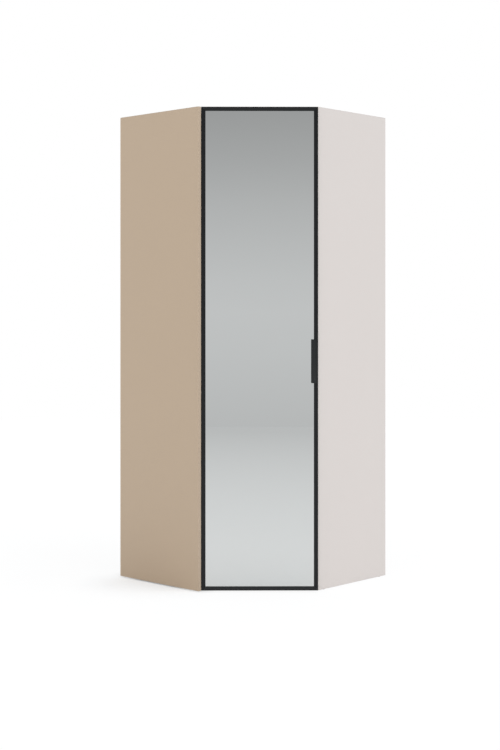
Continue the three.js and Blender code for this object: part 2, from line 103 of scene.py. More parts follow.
class Slot(Enum):
    """The record's material slots."""

    BEIGE_BOARD = "beige_board"
    PALE_BOARD = "pale_board"
    THIN_BOARD = "thin_board"
    BLACK_ALUMINIUM = "black_aluminium"
    BLACK_HANDLE = "black_handle"
    MIRROR_GLASS = "mirror_glass"
    BROWN_BOARD = "brown_board"
    BLACK_RUBBER = "black_rubber"
    BRIGHT_STEEL = "bright_steel"
    ZINC_CASTING = "zinc_casting"
    GREY_PLASTIC = "grey_plastic"
    CLEAR_SILICONE = "clear_silicone"


class Head(Enum):
    """The kinds of fixing that show: what is cut into the head."""

    CROSS = "cross"
    HEXAGON = "hexagon"
    NAIL = "nail"
    CAP = "cap"


CROWN_SHARES = {Head.CROSS: 0.72, Head.HEXAGON: 0.9, Head.NAIL: 0.8, Head.CAP: 0.95}


class Facing(Enum):
    """Which way a board's upright face looks, as a plan direction."""

    FRONT = (0.0, -1.0)
    ALONG_LEFT_WALL = (-HALF_ROOT, -HALF_ROOT)
    ALONG_RIGHT_WALL = (HALF_ROOT, -HALF_ROOT)


def linear(colour: Colour) -> tuple[float, float, float, float]:
    """Turns an sRGB colour into the linear one that shaders take.

    Args:
        colour: Red, green and blue, each from 0 to 255.

    Returns:
        The linear colour, with full alpha.
    """

    def channel(value: float) -> float:
        """Turns one channel into a linear share."""
        share = value / FULL_CHANNEL
        if share <= CHANNEL_KNEE:
            return share / CHANNEL_SLOPE
        return ((share + CHANNEL_LIFT) / (1 + CHANNEL_LIFT)) ** CHANNEL_POWER

    return (*map(channel, colour), 1.0)


class Graph:
    """A node tree, with short calls that add nodes, set their sockets and link them."""

    def __init__(self, tree: Tree) -> None:
        """Takes the tree that the nodes go into."""
        self.tree = tree

    def add(self, kind: str, sockets: dict | None = None, **settings: object) -> bpy.types.Node:
        """Adds a node.

        Args:
            kind: The node's type name.
            sockets: Inputs by name or index, each a value or another node's output.
            **settings: The node's own properties.

        Returns:
            The new node.
        """
        node = self.tree.nodes.new(kind)
        for name, value in settings.items():
            setattr(node, name, value)
        for key, value in (sockets or {}).items():
            if isinstance(value, Socket):
                self.tree.links.new(value, node.inputs[key])
            else:
                node.inputs[key].default_value = value
        return node

    def place(self) -> Socket:
        """Returns the place on the piece."""
        return self.add("ShaderNodeTexCoord").outputs["Object"]

    def maths(self, operation: str, first: float | Socket, second: float | Socket) -> Socket:
        """Adds a Math node.

        Args:
            operation: The operation's name.
            first: The first number or output.
            second: The second number or output.

        Returns:
            The result.
        """
        return self.add("ShaderNodeMath", {0: first, 1: second}, operation=operation).outputs[0]

    def times(self, first: float | Socket, second: float | Socket) -> Socket:
        """Multiplies two numbers or outputs."""
        return self.maths("MULTIPLY", first, second)

    def weigh(self, share: float, first: Socket, second: Socket) -> Socket:
        """Adds two values, the first by its share and the second by the rest."""
        return self.maths("ADD", self.times(first, share), self.times(second, 1 - share))

    def blend(self, share: Socket, low: Socket | Sequence, high: Socket | Sequence) -> Socket:
        """Mixes two colours.

        Args:
            share: How much of the second colour shows, from 0 to 1.
            low: The first colour.
            high: The second colour.

        Returns:
            The mixed colour.
        """
        sockets = {"Factor": share, MIX_LOW: low, MIX_HIGH: high}
        return self.add("ShaderNodeMix", sockets, data_type="RGBA").outputs[MIX_RESULT]

    def choose(self, share: Socket, first: Socket, second: Socket) -> Socket:
        """Mixes two shaders, of which the second shows by its share."""
        return self.add("ShaderNodeMixShader", {0: share, 1: first, 2: second}).outputs[0]

    def remap(self, value: Socket, source: Pair, target: Pair) -> Socket:
        """Takes a value from one range to another, and holds it at the ends.

        Args:
            value: The value.
            source: Where the value starts and ends.
            target: What it becomes there.

        Returns:
            The new value.
        """
        sockets = {
            "Value": value, "From Min": source[0], "From Max": source[1],
            "To Min": target[0], "To Max": target[1],
        }
        return self.add("ShaderNodeMapRange", sockets).outputs["Result"]

    def noise(self, scale: float, detail: float = 2.0, stretch: Sequence[float] = (1, 1, 1)) -> Socket:
        """Adds a noise that is fixed to the piece.

        Args:
            scale: How many swells lie in a metre.
            detail: How many finer layers there are.
            stretch: Scale along each axis, under 1 where the grain runs.

        Returns:
            The noise, from 0 to 1.
        """
        stretched = self.add("ShaderNodeMapping", {"Vector": self.place(), "Scale": stretch}).outputs[0]
        sockets = {"Vector": stretched, "Scale": scale, "Detail": detail}
        return self.add("ShaderNodeTexNoise", sockets).outputs["Fac"]


def bare_graph(owner: bpy.types.Material | bpy.types.World) -> Graph:
    """Gives a material or a world an empty node tree, and returns it."""
    owner.use_nodes = True
    owner.node_tree.nodes.clear()
    return Graph(owner.node_tree)


@dataclass(frozen=True)
class Finish:
    """A surface finish: its colour, how far the tone wanders, its gloss and its fine relief."""

    name: str
    colour: Colour
    roughness: float
    metallic: float = 0.0
    tone_range: float = 0.03
    gloss_range: float = 0.05
    relief: float = 0.00002
    arris_wear: float = 0.25
    arris_tone: float = 1.12
    swell: float = 9.0
    grit: float = 900.0

    def material(self) -> bpy.types.Material:
        """Returns the finish's material, made the first time it is asked for."""
        material = bpy.data.materials.get(self.name)
        if material is None:
            material = bpy.data.materials.new(self.name)
            self.dress(bare_graph(material))
        return material

    def dress(self, graph: Graph) -> None:
        """Fills the material's tree.

        Args:
            graph: The empty tree.
        """
        tone = self.tone(graph)
        worn = graph.add("ShaderNodeAttribute", attribute_name=ARRIS).outputs["Fac"]
        body = graph.blend(tone, self.shaded(1 - self.tone_range), self.shaded(1 + self.tone_range))
        colour = graph.blend(graph.times(worn, self.arris_wear), body, self.shaded(self.arris_tone))
        gloss = (self.roughness - self.gloss_range, self.roughness + self.gloss_range)
        bump = {"Strength": 1.0, "Distance": self.relief, "Height": self.grain(graph)}
        shader = graph.add("ShaderNodeBsdfPrincipled", {
            "Base Color": colour,
            "Metallic": self.metallic,
            "Roughness": graph.remap(tone, UNIT, gloss),
            "Normal": graph.add("ShaderNodeBump", bump).outputs["Normal"],
        })
        self.adjust(shader)
        graph.add("ShaderNodeOutputMaterial", {"Surface": shader.outputs["BSDF"]})

    def shaded(self, share: float) -> tuple[float, float, float, float]:
        """Returns the finish's linear colour, made darker or lighter by a share."""
        return (*(min(1.0, channel * share) for channel in linear(self.colour)[:3]), 1.0)

    def tone(self, graph: Graph) -> Socket:
        """Returns how the tone wanders over the surface, from 0 to 1."""
        return graph.noise(self.swell, detail=4.0)

    def grain(self, graph: Graph) -> Socket:
        """Returns the height of the fine relief, from 0 to 1."""
        return graph.noise(self.grit, detail=3.0)

    def adjust(self, shader: bpy.types.Node) -> None:
        """Sets what this kind of surface needs on the shader's own sockets."""


@dataclass(frozen=True)
class Laminate(Finish):
    """Melamine-faced chipboard with a pearl emboss and a faint cloud in its tone."""

    pearl: float = 1500.0
    cloud: float = 3.0
    speck: float = 700.0
    cloud_share: float = 0.6

    def tone(self, graph: Graph) -> Socket:
        """Returns a slow cloud with fine specks over it."""
        cloud, specks = graph.noise(self.cloud, detail=3.0), graph.noise(self.speck, detail=1.0)
        return graph.weigh(self.cloud_share, cloud, specks)

    def grain(self, graph: Graph) -> Socket:
        """Returns the pearl emboss."""
        return graph.noise(self.pearl)


@dataclass(frozen=True)
class Hardboard(Finish):
    """Thin fibreboard with short fibres that lie every way."""

    fibre: float = 260.0

    def tone(self, graph: Graph) -> Socket:
        """Returns fibres along two directions."""
        along = graph.noise(self.fibre, detail=5.0, stretch=(0.25, 0.25, 1.0))
        upright = graph.noise(self.fibre, detail=5.0, stretch=(1.0, 1.0, 0.25))
        return graph.weigh(0.5, along, upright)

    def grain(self, graph: Graph) -> Socket:
        """Returns the fibres' relief."""
        return graph.noise(self.fibre * 2, detail=4.0, stretch=(1.0, 1.0, 0.4))


@dataclass(frozen=True)
class Drawn(Finish):
    """Metal that is drawn or extruded, with fine lines along one direction."""

    lines: float = 1400.0
    along: tuple[float, float, float] = (1.0, 1.0, 0.004)
    swell: float = 6.0
    line_share: float = 0.7

    def tone(self, graph: Graph) -> Socket:
        """Returns the drawing lines, with a slow change of tone under them."""
        lines = graph.noise(self.lines, stretch=self.along)
        return graph.weigh(self.line_share, lines, graph.noise(self.swell))

    def grain(self, graph: Graph) -> Socket:
        """Returns the relief of the drawing lines."""
        return graph.noise(self.lines, detail=3.0, stretch=self.along)


@dataclass(frozen=True)
class Cast(Finish):
    """A plated die casting, slightly orange-peeled, with small pits."""

    peel: float = 420.0
    swell: float = 60.0

    def tone(self, graph: Graph) -> Socket:
        """Returns blotches of the plating."""
        return graph.noise(self.swell, detail=5.0)

    def grain(self, graph: Graph) -> Socket:
        """Returns the peel with pits in it."""
        sockets = {"Vector": graph.place(), "Scale": self.peel}
        pits = graph.add("ShaderNodeTexVoronoi", sockets).outputs["Distance"]
        return graph.times(pits, graph.noise(self.peel, detail=3.0))


@dataclass(frozen=True)
class Moulded(Finish):
    """Moulded plastic or rubber with a spark-eroded grain."""

    spark: float = 2200.0
    translucency: float = 0.0
    refraction: float = 1.43

    def grain(self, graph: Graph) -> Socket:
        """Returns the spark-eroded grain."""
        return graph.noise(self.spark, detail=4.0)

    def adjust(self, shader: bpy.types.Node) -> None:
        """Lets some light through where the material is clear."""
        shader.inputs["Transmission Weight"].default_value = self.translucency
        shader.inputs["IOR"].default_value = self.refraction


@dataclass(frozen=True)
class Silvered(Finish):
    """Silvered glass: a clean mirror whose gloss varies by a trace of dust."""

    swell: float = 14.0
    wave: float = 2.5

    def tone(self, graph: Graph) -> Socket:
        """Returns faint veils of dust."""
        return graph.noise(self.swell, detail=6.0)

    def grain(self, graph: Graph) -> Socket:
        """Returns the glass's very slow waviness."""
        return graph.noise(self.wave, detail=0.0)


ALONG_X = (0.004, 1.0, 1.0)
BEIGE_LAMINATE = Laminate("beige laminate", (193, 173, 150), 0.50, tone_range=0.012)
BEIGE_EDGING = Laminate("beige edging", (193, 174, 153), 0.42, tone_range=0.01, arris_wear=0.4)
PALE_LAMINATE = Laminate("pale laminate", (218, 212, 209), 0.50, tone_range=0.01)
PALE_EDGING = Laminate("pale edging", (215, 210, 207), 0.42, tone_range=0.008, arris_wear=0.4)
PAINTED_HARDBOARD = Hardboard("painted hardboard", (212, 206, 200), 0.65, tone_range=0.03, relief=0.00004)
RAW_HARDBOARD = Hardboard("raw hardboard", (122, 98, 72), 0.8, tone_range=0.14, relief=0.00008)
# The uprights take a darker black than the rails. This is painted shade: one anodising, given a darker copy
# on the uprights.
SHADED_ANODISED_UPRIGHT = Drawn("black anodised upright with painted shade", (6, 12, 18), 0.42, tone_range=0.10, relief=0.000004)
ANODISED_LEVEL = Drawn(
    "black anodised level", (24, 27, 30), 0.42, tone_range=0.10, relief=0.000004, along=ALONG_X,
)
COATED_PULL = Moulded("black powder coat", (34, 37, 39), 0.5, tone_range=0.05, relief=0.00002, spark=1600.0)
SILVERED_GLASS = Silvered(
    "silvered glass", (247, 250, 250), 0.006, 1.0, tone_range=0.004, gloss_range=0.006, relief=0.0,
)
GLASS_EDGE = Moulded("ground glass edge", (140, 172, 160), 0.3, tone_range=0.06)
GASKET_RUBBER = Moulded("black gasket rubber", (28, 28, 29), 0.75, tone_range=0.08)
POLISHED_STEEL = Drawn("bright plated tube", (205, 207, 209), 0.16, 1.0, 0.04, 0.04, 0.000002, along=ALONG_X)
PLATED_STEEL = Drawn("plated steel", (184, 187, 190), 0.3, 1.0, 0.06, 0.06, 0.000006)
PLATED_CASTING = Cast("nickel-plated casting", (170, 172, 174), 0.32, 1.0, 0.05, 0.08, 0.00006)
GREY_MOULDING = Moulded("grey moulding", (140, 140, 138), 0.55, tone_range=0.05)
SILICONE = Moulded("clear silicone", (224, 228, 230), 0.25, tone_range=0.02, translucency=0.7)

CASTING = (Slot.ZINC_CASTING, PLATED_CASTING)
STEEL = (Slot.BRIGHT_STEEL, PLATED_STEEL)


def largest_face(mesh: Mesh, direction: Vector) -> bmesh.types.BMFace:
    """Finds the largest face that looks one way.

    Args:
        mesh: The mesh to search.
        direction: The way that the face looks.

    Returns:
        The face.
    """
    matching = [face for face in mesh.faces if face.normal.dot(direction) > FLAT_SHARE]
    return max(matching, key=lambda face: face.calc_area())


def flat_edges(mesh: Mesh) -> list[bmesh.types.BMEdge]:
    """Returns the edges that lie across a flat face."""
    return [edge for edge in mesh.edges if edge.is_manifold and edge.calc_face_angle(0.0) < FLAT_ANGLE]


def merging_order(edge: bmesh.types.BMEdge) -> tuple[bool, float]:
    """Tells how soon an edge across a flat face goes.

    Args:
        edge: The edge.

    Returns:
        False for an edge that runs into another along nearly the same line, which goes before the
        others, and then the edge's length below zero, because long ones go before short ones.
    """
    slants = [1.0]
    for corner in edge.verts:
        along = (edge.other_vert(corner).co - corner.co).normalized()
        for other in corner.link_edges:
            if other is not edge and other.calc_face_angle(0.0) >= FLAT_ANGLE:
                slants.append(along.cross((other.other_vert(corner).co - corner.co).normalized()).length)
    return min(slants) > LEAST_SLANT, -edge.calc_length()


def drop_strays(mesh: Mesh) -> None:
    """Takes away the points that lie inside flat faces, each onto a neighbour that folds no face.

    Args:
        mesh: The mesh of triangles, which is changed. Its normals are up to date.
    """
    flat = set(flat_edges(mesh))
    for stray in [vert for vert in mesh.verts if flat.issuperset(vert.link_edges)]:
        for edge in sorted(stray.link_edges, key=lambda spoke: spoke.calc_length()):
            kept = edge.other_vert(stray)
            moved = (
                normal([kept.co if corner is stray else corner.co for corner in face.verts])
                for face in stray.link_faces if kept not in face.verts
            )
            if all(turned.dot(stray.normal) > FLAT_SHARE for turned in moved):
                bmesh.ops.weld_verts(mesh, targetmap={stray: kept})
                break


def merge_flat(mesh: Mesh) -> None:
    """Merges triangles into whole flat faces.

    A face can't hold a hole, so some edges stay across the flat face round it. They are short and
    stand well off the others, so that a round on the hole's rim has room.

    Args:
        mesh: The mesh, which is changed.
    """
    mesh.normal_update()
    drop_strays(mesh)
    mesh.normal_update()
    bmesh.ops.beautify_fill(mesh, faces=mesh.faces, edges=flat_edges(mesh), method="ANGLE")
    mesh.normal_update()
    for edge in sorted(flat_edges(mesh), key=merging_order):
        if not edge.is_valid or len(edge.link_faces) != 2:
            continue
        first, second = edge.link_faces
        edges, corners = set(first.edges) & set(second.edges), set(first.verts) & set(second.verts)
        if len(corners) == len(edges) + 1:
            bmesh.utils.face_join((first, second))
    bmesh.ops.dissolve_limit(mesh, angle_limit=FLAT_ANGLE, verts=mesh.verts, edges=[])


def node_mesh(node: str) -> Mesh:
    """Copies a node's mesh, with its triangles merged into whole flat faces.

    Args:
        node: The node's name.

    Returns:
        The copy, which the caller frees or turns into a piece.
    """
    mesh = bmesh.new()
    mesh.from_mesh(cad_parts[node].data)
    for layer in list(mesh.loops.layers.uv):
        mesh.loops.layers.uv.remove(layer)
    bmesh.ops.remove_doubles(mesh, verts=mesh.verts, dist=SAME_PLACE)
    merge_flat(mesh)
    bmesh.ops.recalc_face_normals(mesh, faces=mesh.faces)
    return mesh


def plan_outline(node: str) -> Outline:
    """Reads a board's plan from its underside.

    Args:
        node: The board's node.

    Returns:
        The corners in metres, counter-clockwise from above.
    """
    mesh = node_mesh(node)
    corners = [vert.co.to_2d() for vert in largest_face(mesh, DOWN).verts]
    mesh.free()
    return corners[::-1]


def prism(outline: Outline, low: float, high: float) -> Mesh:
    """Makes an upright prism.

    Args:
        outline: The plan corners, counter-clockwise from above.
        low: The underside's height.
        high: The top's height.

    Returns:
        The closed mesh.
    """
    mesh = bmesh.new()
    below = [mesh.verts.new((corner.x, corner.y, low)) for corner in outline]
    above = [mesh.verts.new((corner.x, corner.y, high)) for corner in outline]
    mesh.faces.new(below[::-1])
    mesh.faces.new(above)
    for i, start in enumerate(below):
        follow = (i + 1) % len(below)
        mesh.faces.new((start, below[follow], above[follow], above[i]))
    return mesh


def block(low: Vector, high: Vector) -> Mesh:
    """Makes a block between two corners.

    Args:
        low: The lowest corner.
        high: The highest corner.

    Returns:
        The closed mesh.
    """
    plan = [Vector((x, y)) for x, y in ((low.x, low.y), (high.x, low.y), (high.x, high.y), (low.x, high.y))]
    return prism(plan, low.z, high.z)


def lathe(profile: Sequence[Pair], place: Matrix, steps: int = 48) -> Mesh:
    """Turns a profile round an axis.

    Args:
        profile: Radius and distance along the axis, starting and ending on the axis.
        place: Where the axis's zero and its Z direction go.
        steps: How many flat sides the turned piece has.

    Returns:
        The closed mesh.
    """
    mesh = bmesh.new()
    rings = []
    for radius, along in profile[1:-1]:
        angles = (2 * math.pi * i / steps for i in range(steps))
        rings.append([mesh.verts.new((radius * math.cos(a), radius * math.sin(a), along)) for a in angles])
    start, end = (mesh.verts.new((0, 0, along)) for _, along in (profile[0], profile[-1]))
    for i in range(steps):
        follow = (i + 1) % steps
        mesh.faces.new((start, rings[0][i], rings[0][follow]))
        mesh.faces.new((end, rings[-1][follow], rings[-1][i]))
        for near, far in zip(rings, rings[1:]):
            mesh.faces.new((near[i], far[i], far[follow], near[follow]))
    mesh.transform(place)
    bmesh.ops.recalc_face_normals(mesh, faces=mesh.faces)
    return mesh


def joined(meshes: Iterable[Mesh]) -> Mesh:
    """Puts several meshes into one, and frees them.

    Args:
        meshes: The meshes to join.

    Returns:
        One mesh that holds them all as separate shells.
    """
    whole = bmesh.new()
    for mesh in meshes:
        carrier = bpy.data.meshes.new("carrier")
        mesh.to_mesh(carrier)
        mesh.free()
        whole.from_mesh(carrier)
        bpy.data.meshes.remove(carrier)
    return whole


def placed(name: str, data: bpy.types.ID) -> Item:
    """Puts an object with the given data into the scene, at the origin."""
    item = bpy.data.objects.new(name, data)
    bpy.context.scene.collection.objects.link(item)
    return item


def loose_object(name: str, mesh: Mesh) -> Item:
    """Puts a mesh into the scene as an object at the origin.

    Args:
        name: The object's name.
        mesh: The mesh, which is freed.

    Returns:
        The object.
    """
    data = bpy.data.meshes.new(name)
    mesh.to_mesh(data)
    mesh.free()
    return placed(name, data)


def made_plain(item: Item) -> None:
    """Turns an object's live modifiers into its plain mesh, and removes them.

    Args:
        item: The object, which keeps its name.
    """
    graph = bpy.context.evaluated_depsgraph_get()
    evaluated = item.evaluated_get(graph)
    result = bpy.data.meshes.new_from_object(evaluated, preserve_all_data_layers=True, depsgraph=graph)
    item.modifiers.clear()
    spent, item.data = item.data, result
    bpy.data.meshes.remove(spent)


def carved(mesh: Mesh, cutters: Iterable[Mesh]) -> Mesh:
    """Cuts solids out of a mesh.

    Args:
        mesh: The closed mesh to cut, which is freed.
        cutters: Closed meshes that don't touch each other, which are freed.

    Returns:
        What is left.
    """
    stock, tool = loose_object("stock", mesh), loose_object("tool", joined(cutters))
    cut = stock.modifiers.new("cut", "BOOLEAN")
    cut.operation, cut.solver, cut.object = "DIFFERENCE", "EXACT", tool
    made_plain(stock)
    left = bmesh.new()
    left.from_mesh(stock.data)
    for item in (stock, tool):
        data = item.data
        bpy.data.objects.remove(item)
        bpy.data.meshes.remove(data)
    return left


def softened(mesh: Mesh, radius: float, steps: int = 2) -> Mesh:
    """Rounds a mesh's corners and marks the rounds, so that a finish can wear them.

    Args:
        mesh: The closed mesh, which is changed.
        radius: The round's radius.
        steps: How many faces a round has.

    Returns:
        The same mesh. Faces that bend gently into a neighbour are smooth, and flat ones stay flat.
    """
    mesh.normal_update()
    for face in mesh.faces:
        turns = [edge.calc_face_angle(0.0) for edge in face.edges]
        face.smooth = any(FLAT_ANGLE < turn < SHARP_ANGLE for turn in turns)
    worn = mesh.loops.layers.float.get(ARRIS) or mesh.loops.layers.float.new(ARRIS)
    sharp = [edge for edge in mesh.edges if edge.is_manifold and edge.calc_face_angle(0.0) >= SHARP_ANGLE]
    made = bmesh.ops.bevel(
        mesh, geom=sharp, offset=radius, offset_type="OFFSET", segments=steps,
        profile=ROUND_PROFILE, affect="EDGES", clamp_overlap=True, material=-1,
    )
    for face in made["faces"]:
        face.smooth = True
        for loop in face.loops:
            loop[worn] = 1.0
    mesh.normal_update()
    return mesh


def smoothed(mesh: Mesh) -> Mesh:
    """Makes round faces smooth and keeps corners sharp, and returns the same mesh."""
    mesh.normal_update()
    for face in mesh.faces:
        face.smooth = True
    for edge in mesh.edges:
        edge.smooth = edge.calc_face_angle(0.0) < SHARP_ANGLE
    return mesh


def rounded(outline: Outline, radii: Sequence[float], steps: int = 6) -> Outline:
    """Rounds an outline's corners with arcs.

    Args:
        outline: The corners.
        radii: The radius at each corner, or zero where it stays sharp.
        steps: How many chords an arc has.

    Returns:
        The outline with an arc in place of each rounded corner.
    """
    result = []
    for i, (corner, radius) in enumerate(zip(outline, radii)):
        before = (outline[i - 1] - corner).normalized()
        after = (outline[(i + 1) % len(outline)] - corner).normalized()
        half = before.angle(after) / 2
        if not radius:
            result.append(corner)
            continue
        middle = corner + (before + after).normalized() * (radius / math.sin(half))
        start = corner + before * (radius / math.tan(half)) - middle
        sweep = start.angle_signed(corner + after * (radius / math.tan(half)) - middle)
        result += [middle + Matrix.Rotation(-sweep * k / steps, 2) @ start for k in range(steps + 1)]
    return result


def turned_to(place: Vector, direction: Vector) -> Matrix:
    """Works out where a turned piece goes.

    Args:
        place: Where its zero goes.
        direction: Where its Z axis points, as a unit vector.

    Returns:
        The matrix that takes it there.
    """
    turn = UP.rotation_difference(direction)
    return Matrix.Translation(place) @ turn.to_matrix().to_4x4()


def piece(
    name: str, mesh: Mesh, body: Body, slot: Slot, finish: Finish, stands_for: Sequence[str] = (),
) -> Item:
    """Makes a finished piece that rides on a body.

    Args:
        name: The piece's name.
        mesh: Its mesh in the frame's place, which is freed.
        body: The body that carries it.
        slot: The record's material slot; not used.
        finish: Its finish.
        stands_for: The nodes that it takes the place of.

    Returns:
        The piece.
    """
    item = loose_object(name, mesh)
    item.data.materials.append(finish.material())
    return settled(item, body, stands_for)


def settled(item: Item, body: Body, stands_for: Sequence[str] = ()) -> Item:
    """Lets a finished object ride on its body, and hides the nodes that it stands for."""
    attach(item, body.value)
    if stands_for:
        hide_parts(*stands_for)
    return item


class Assembly:
    """A sub-assembly: it builds its pieces and tells the log about each."""

    def build(self) -> list[Item]:
        """Makes every piece of the sub-assembly and returns them."""
        raise NotImplementedError

    def report(self) -> None:
        """Builds the sub-assembly and logs each piece with its count of faces."""
        for item in self.build():
            LOG.info("%s: %s, %d faces", type(self).__name__, item.name, len(item.data.polygons))


def nodes_of(kind: str) -> tuple[str, ...]:
    """Returns the frame's nodes whose names start with a kind, in its order."""
    return tuple(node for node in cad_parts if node.startswith(kind))


@dataclass
class Board(Assembly):
    """A laminated board with edging on the faces that show.

    The edging is a strip of its own, flush with the board and parted from it by a hairline.
    """

    node: str
    slot: Slot
    laminate: Finish
    edging: Finish
    banded: tuple[Facing, ...] = ()
    band_on_top: bool = False
    band: float = 0.001
    hairline: float = 0.00006
    arris: float = 0.0003
    band_arris: float = 0.0007
    band_steps: int = 3
    bore_sides: int = 36
    bores: tuple[Bore, ...] = ()

    def build(self) -> list[Item]:
        """Makes the board and its edging."""
        low, high = (corner.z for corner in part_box(self.node))
        outline = plan_outline(self.node)
        sides = [i for i in range(len(outline)) if self.is_banded(outline, i)]
        core_top = high - self.band - self.hairline if self.band_on_top else high
        core = prism(self.inset(outline, sides, self.band + self.hairline), low, core_top)
        inner = self.inset(outline, sides, self.band)
        strips = [self.strip(outline, inner, side, low, high) for side in sides]
        if self.band_on_top:
            strips.append(prism(inner, high - self.band, high))
        if self.bores:
            core = carved(core, [self.bore(*each) for each in self.bores])
        edging = joined(softened(strip, self.band_arris, self.band_steps) for strip in strips)
        if self.bores:
            edging = carved(edging, [self.bore(*each) for each in self.bores])
        board, carcass = softened(core, self.arris), (Body.CARCASS, self.slot)
        return [
            piece(f"{self.node}_board", board, *carcass, self.laminate, [self.node]),
            piece(f"{self.node}_edging", edging, *carcass, self.edging),
        ]

    def is_banded(self, outline: Outline, side: int) -> bool:
        """Tells whether the side that starts at a corner of the outline has edging."""
        along = outline[(side + 1) % len(outline)] - outline[side]
        outward = Vector((along.y, -along.x)).normalized()
        return any(outward.dot(Vector(facing.value)) > FLAT_SHARE for facing in self.banded)

    def inset(self, outline: Outline, sides: Sequence[int], distance: float) -> Outline:
        """Moves some sides of an outline inwards.

        Args:
            outline: The plan corners, counter-clockwise.
            sides: The sides to move, each named by its first corner.
            distance: How far they move.

        Returns:
            The new corners, where the moved sides meet their neighbours.
        """
        count = len(outline)
        lines = []
        for i, start in enumerate(outline):
            along = (outline[(i + 1) % count] - start).normalized()
            shift = distance if i in sides else 0.0
            lines.append((start + Vector((-along.y, along.x)) * shift, along))
        corners = []
        for (before, before_along), (after, after_along) in zip(lines[-1:] + lines[:-1], lines):
            reach = (after - before).cross(after_along) / before_along.cross(after_along)
            corners.append(before + before_along * reach)
        return corners

    def strip(self, outer: Outline, inner: Outline, side: int, low: float, high: float) -> Mesh:
        """Makes the edging strip of one side, between the outline and its inset."""
        follow = (side + 1) % len(outer)
        return prism([outer[side], outer[follow], inner[follow], inner[side]], low, high)

    def bore(self, place: Matrix, radius: float, depth: float) -> Mesh:
        """Makes the tool for one bore, which starts a little outside the board."""
        start = -self.band
        return lathe([(0, start), (radius, start), (radius, depth), (0, depth)], place, self.bore_sides)


@dataclass
class SoftCopy(Assembly):
    """Nodes of one kind, copied with soft edges in one finish."""

    nodes: tuple[str, ...]
    body: Body
    slot: Slot
    finish: Finish
    radius: float = 0.0003
    steps: int = 2

    def build(self) -> list[Item]:
        """Makes a soft-edged piece for each node."""
        return [self.copy(node) for node in self.nodes]

    def copy(self, node: str) -> Item:
        """Makes the soft-edged piece that stands for one node."""
        mesh = softened(self.reworked(node, node_mesh(node)), self.radius, self.steps)
        return piece(f"{node}_body", mesh, self.body, self.slot, self.finish, [node])

    def reworked(self, node: str, mesh: Mesh) -> Mesh:
        """Returns the node's mesh with whatever this kind of piece adds to it."""
        return mesh


class Recipe(Graph):
    """A Geometry Nodes tree with named inputs, which makes what repeats or follows a path."""

    def __init__(self, name: str) -> None:
        """Starts the tree with its geometry sockets and its finish."""
        super().__init__(bpy.data.node_groups.new(name, "GeometryNodeTree"))
        self.tree.interface.new_socket("Geometry", in_out="OUTPUT", socket_type="NodeSocketGeometry")
        self.tree.interface.new_socket("Geometry", in_out="INPUT", socket_type="NodeSocketGeometry")
        self.tree.interface.new_socket("Finish", in_out="INPUT", socket_type="NodeSocketMaterial")
        self.entry = self.add("NodeGroupInput")

    def size(self, name: str, kind: str = "NodeSocketFloat") -> Socket:
        """Adds a named input and returns it."""
        self.tree.interface.new_socket(name, in_out="INPUT", socket_type=kind)
        return self.entry.outputs[name]

    def made(self, kind: str, output: str, sockets: dict | None = None, **settings: object) -> Socket:
        """Adds a node and returns one of its outputs, by its name."""
        node = self.add(kind, sockets, **settings)
        return next(socket for socket in node.outputs if socket.enabled and socket.name == output)

    def vector(self, x: float | Socket, y: float | Socket, z: float | Socket) -> Socket:
        """Puts three numbers into a vector."""
        return self.made("ShaderNodeCombineXYZ", "Vector", {"X": x, "Y": y, "Z": z})

    def close(self, geometry: Socket) -> Tree:
        """Ends the tree with real geometry in its finish.

        Args:
            geometry: What the tree has made.

        Returns:
            The tree.
        """
        real = self.made("GeometryNodeRealizeInstances", "Geometry", {"Geometry": geometry})
        sockets = {"Geometry": real, "Material": self.entry.outputs["Finish"]}
        dressed = self.made("GeometryNodeSetMaterial", "Geometry", sockets)
        self.add("NodeGroupOutput", {"Geometry": dressed})
        return self.tree


def cooked(name: str, mesh: Mesh, tree: Tree, finish: Finish, values: dict[str, float]) -> Item:
    """Runs a recipe and keeps the plain result.

    Args:
        name: The object's name.
        mesh: What the recipe starts from, which is freed.
        tree: The recipe's tree.
        finish: The finish that it gives to what it makes.
        values: Its other inputs by name.

    Returns:
        The object, with corners sharp and round faces smooth.
    """
    item, values = loose_object(name, mesh), values | {"Finish": finish.material()}
    modifier = item.modifiers.new(tree.name, "NODES")
    modifier.node_group = tree
    for socket in tree.interface.items_tree:
        if socket.in_out == "INPUT" and socket.name in values:
            modifier[socket.identifier] = values[socket.name]
    made_plain(item)
    item.data.shade_smooth()
    item.data.set_sharp_from_angle(angle=SHARP_ANGLE)
    return item


def head_cutters(recipe: Recipe, head: Head, radius: Socket, height: Socket) -> list[Socket]:
    """Adds the nodes that make what is cut out of a head.

    Args:
        recipe: The recipe that the nodes go into.
        head: The kind of head.
        radius: The head's radius.
        height: The head's height.

    Returns:
        The cutters' meshes. A nail and a cap have none.
    """
    if head is Head.CROSS:
        floor, deeper = (recipe.times(height, share) for share in CROSS_DEPTH_SHARES)
        reach, slot = (recipe.times(radius, share) for share in (CROSS_REACH_SHARE, CROSS_SLOT_SHARE))
        sizes = (recipe.vector(reach, slot, floor), recipe.vector(slot, reach, deeper))
        return [recipe.made("GeometryNodeMeshCube", "Mesh", {"Size": size}) for size in sizes]
    if head is Head.HEXAGON:
        sizes = {
            "Vertices": SOCKET_SIDES,
            "Radius": recipe.times(radius, SOCKET_REACH_SHARE),
            "Depth": recipe.times(height, SOCKET_DEPTH_SHARE),
        }
        return [recipe.made("GeometryNodeMeshCylinder", "Mesh", sizes)]
    return []


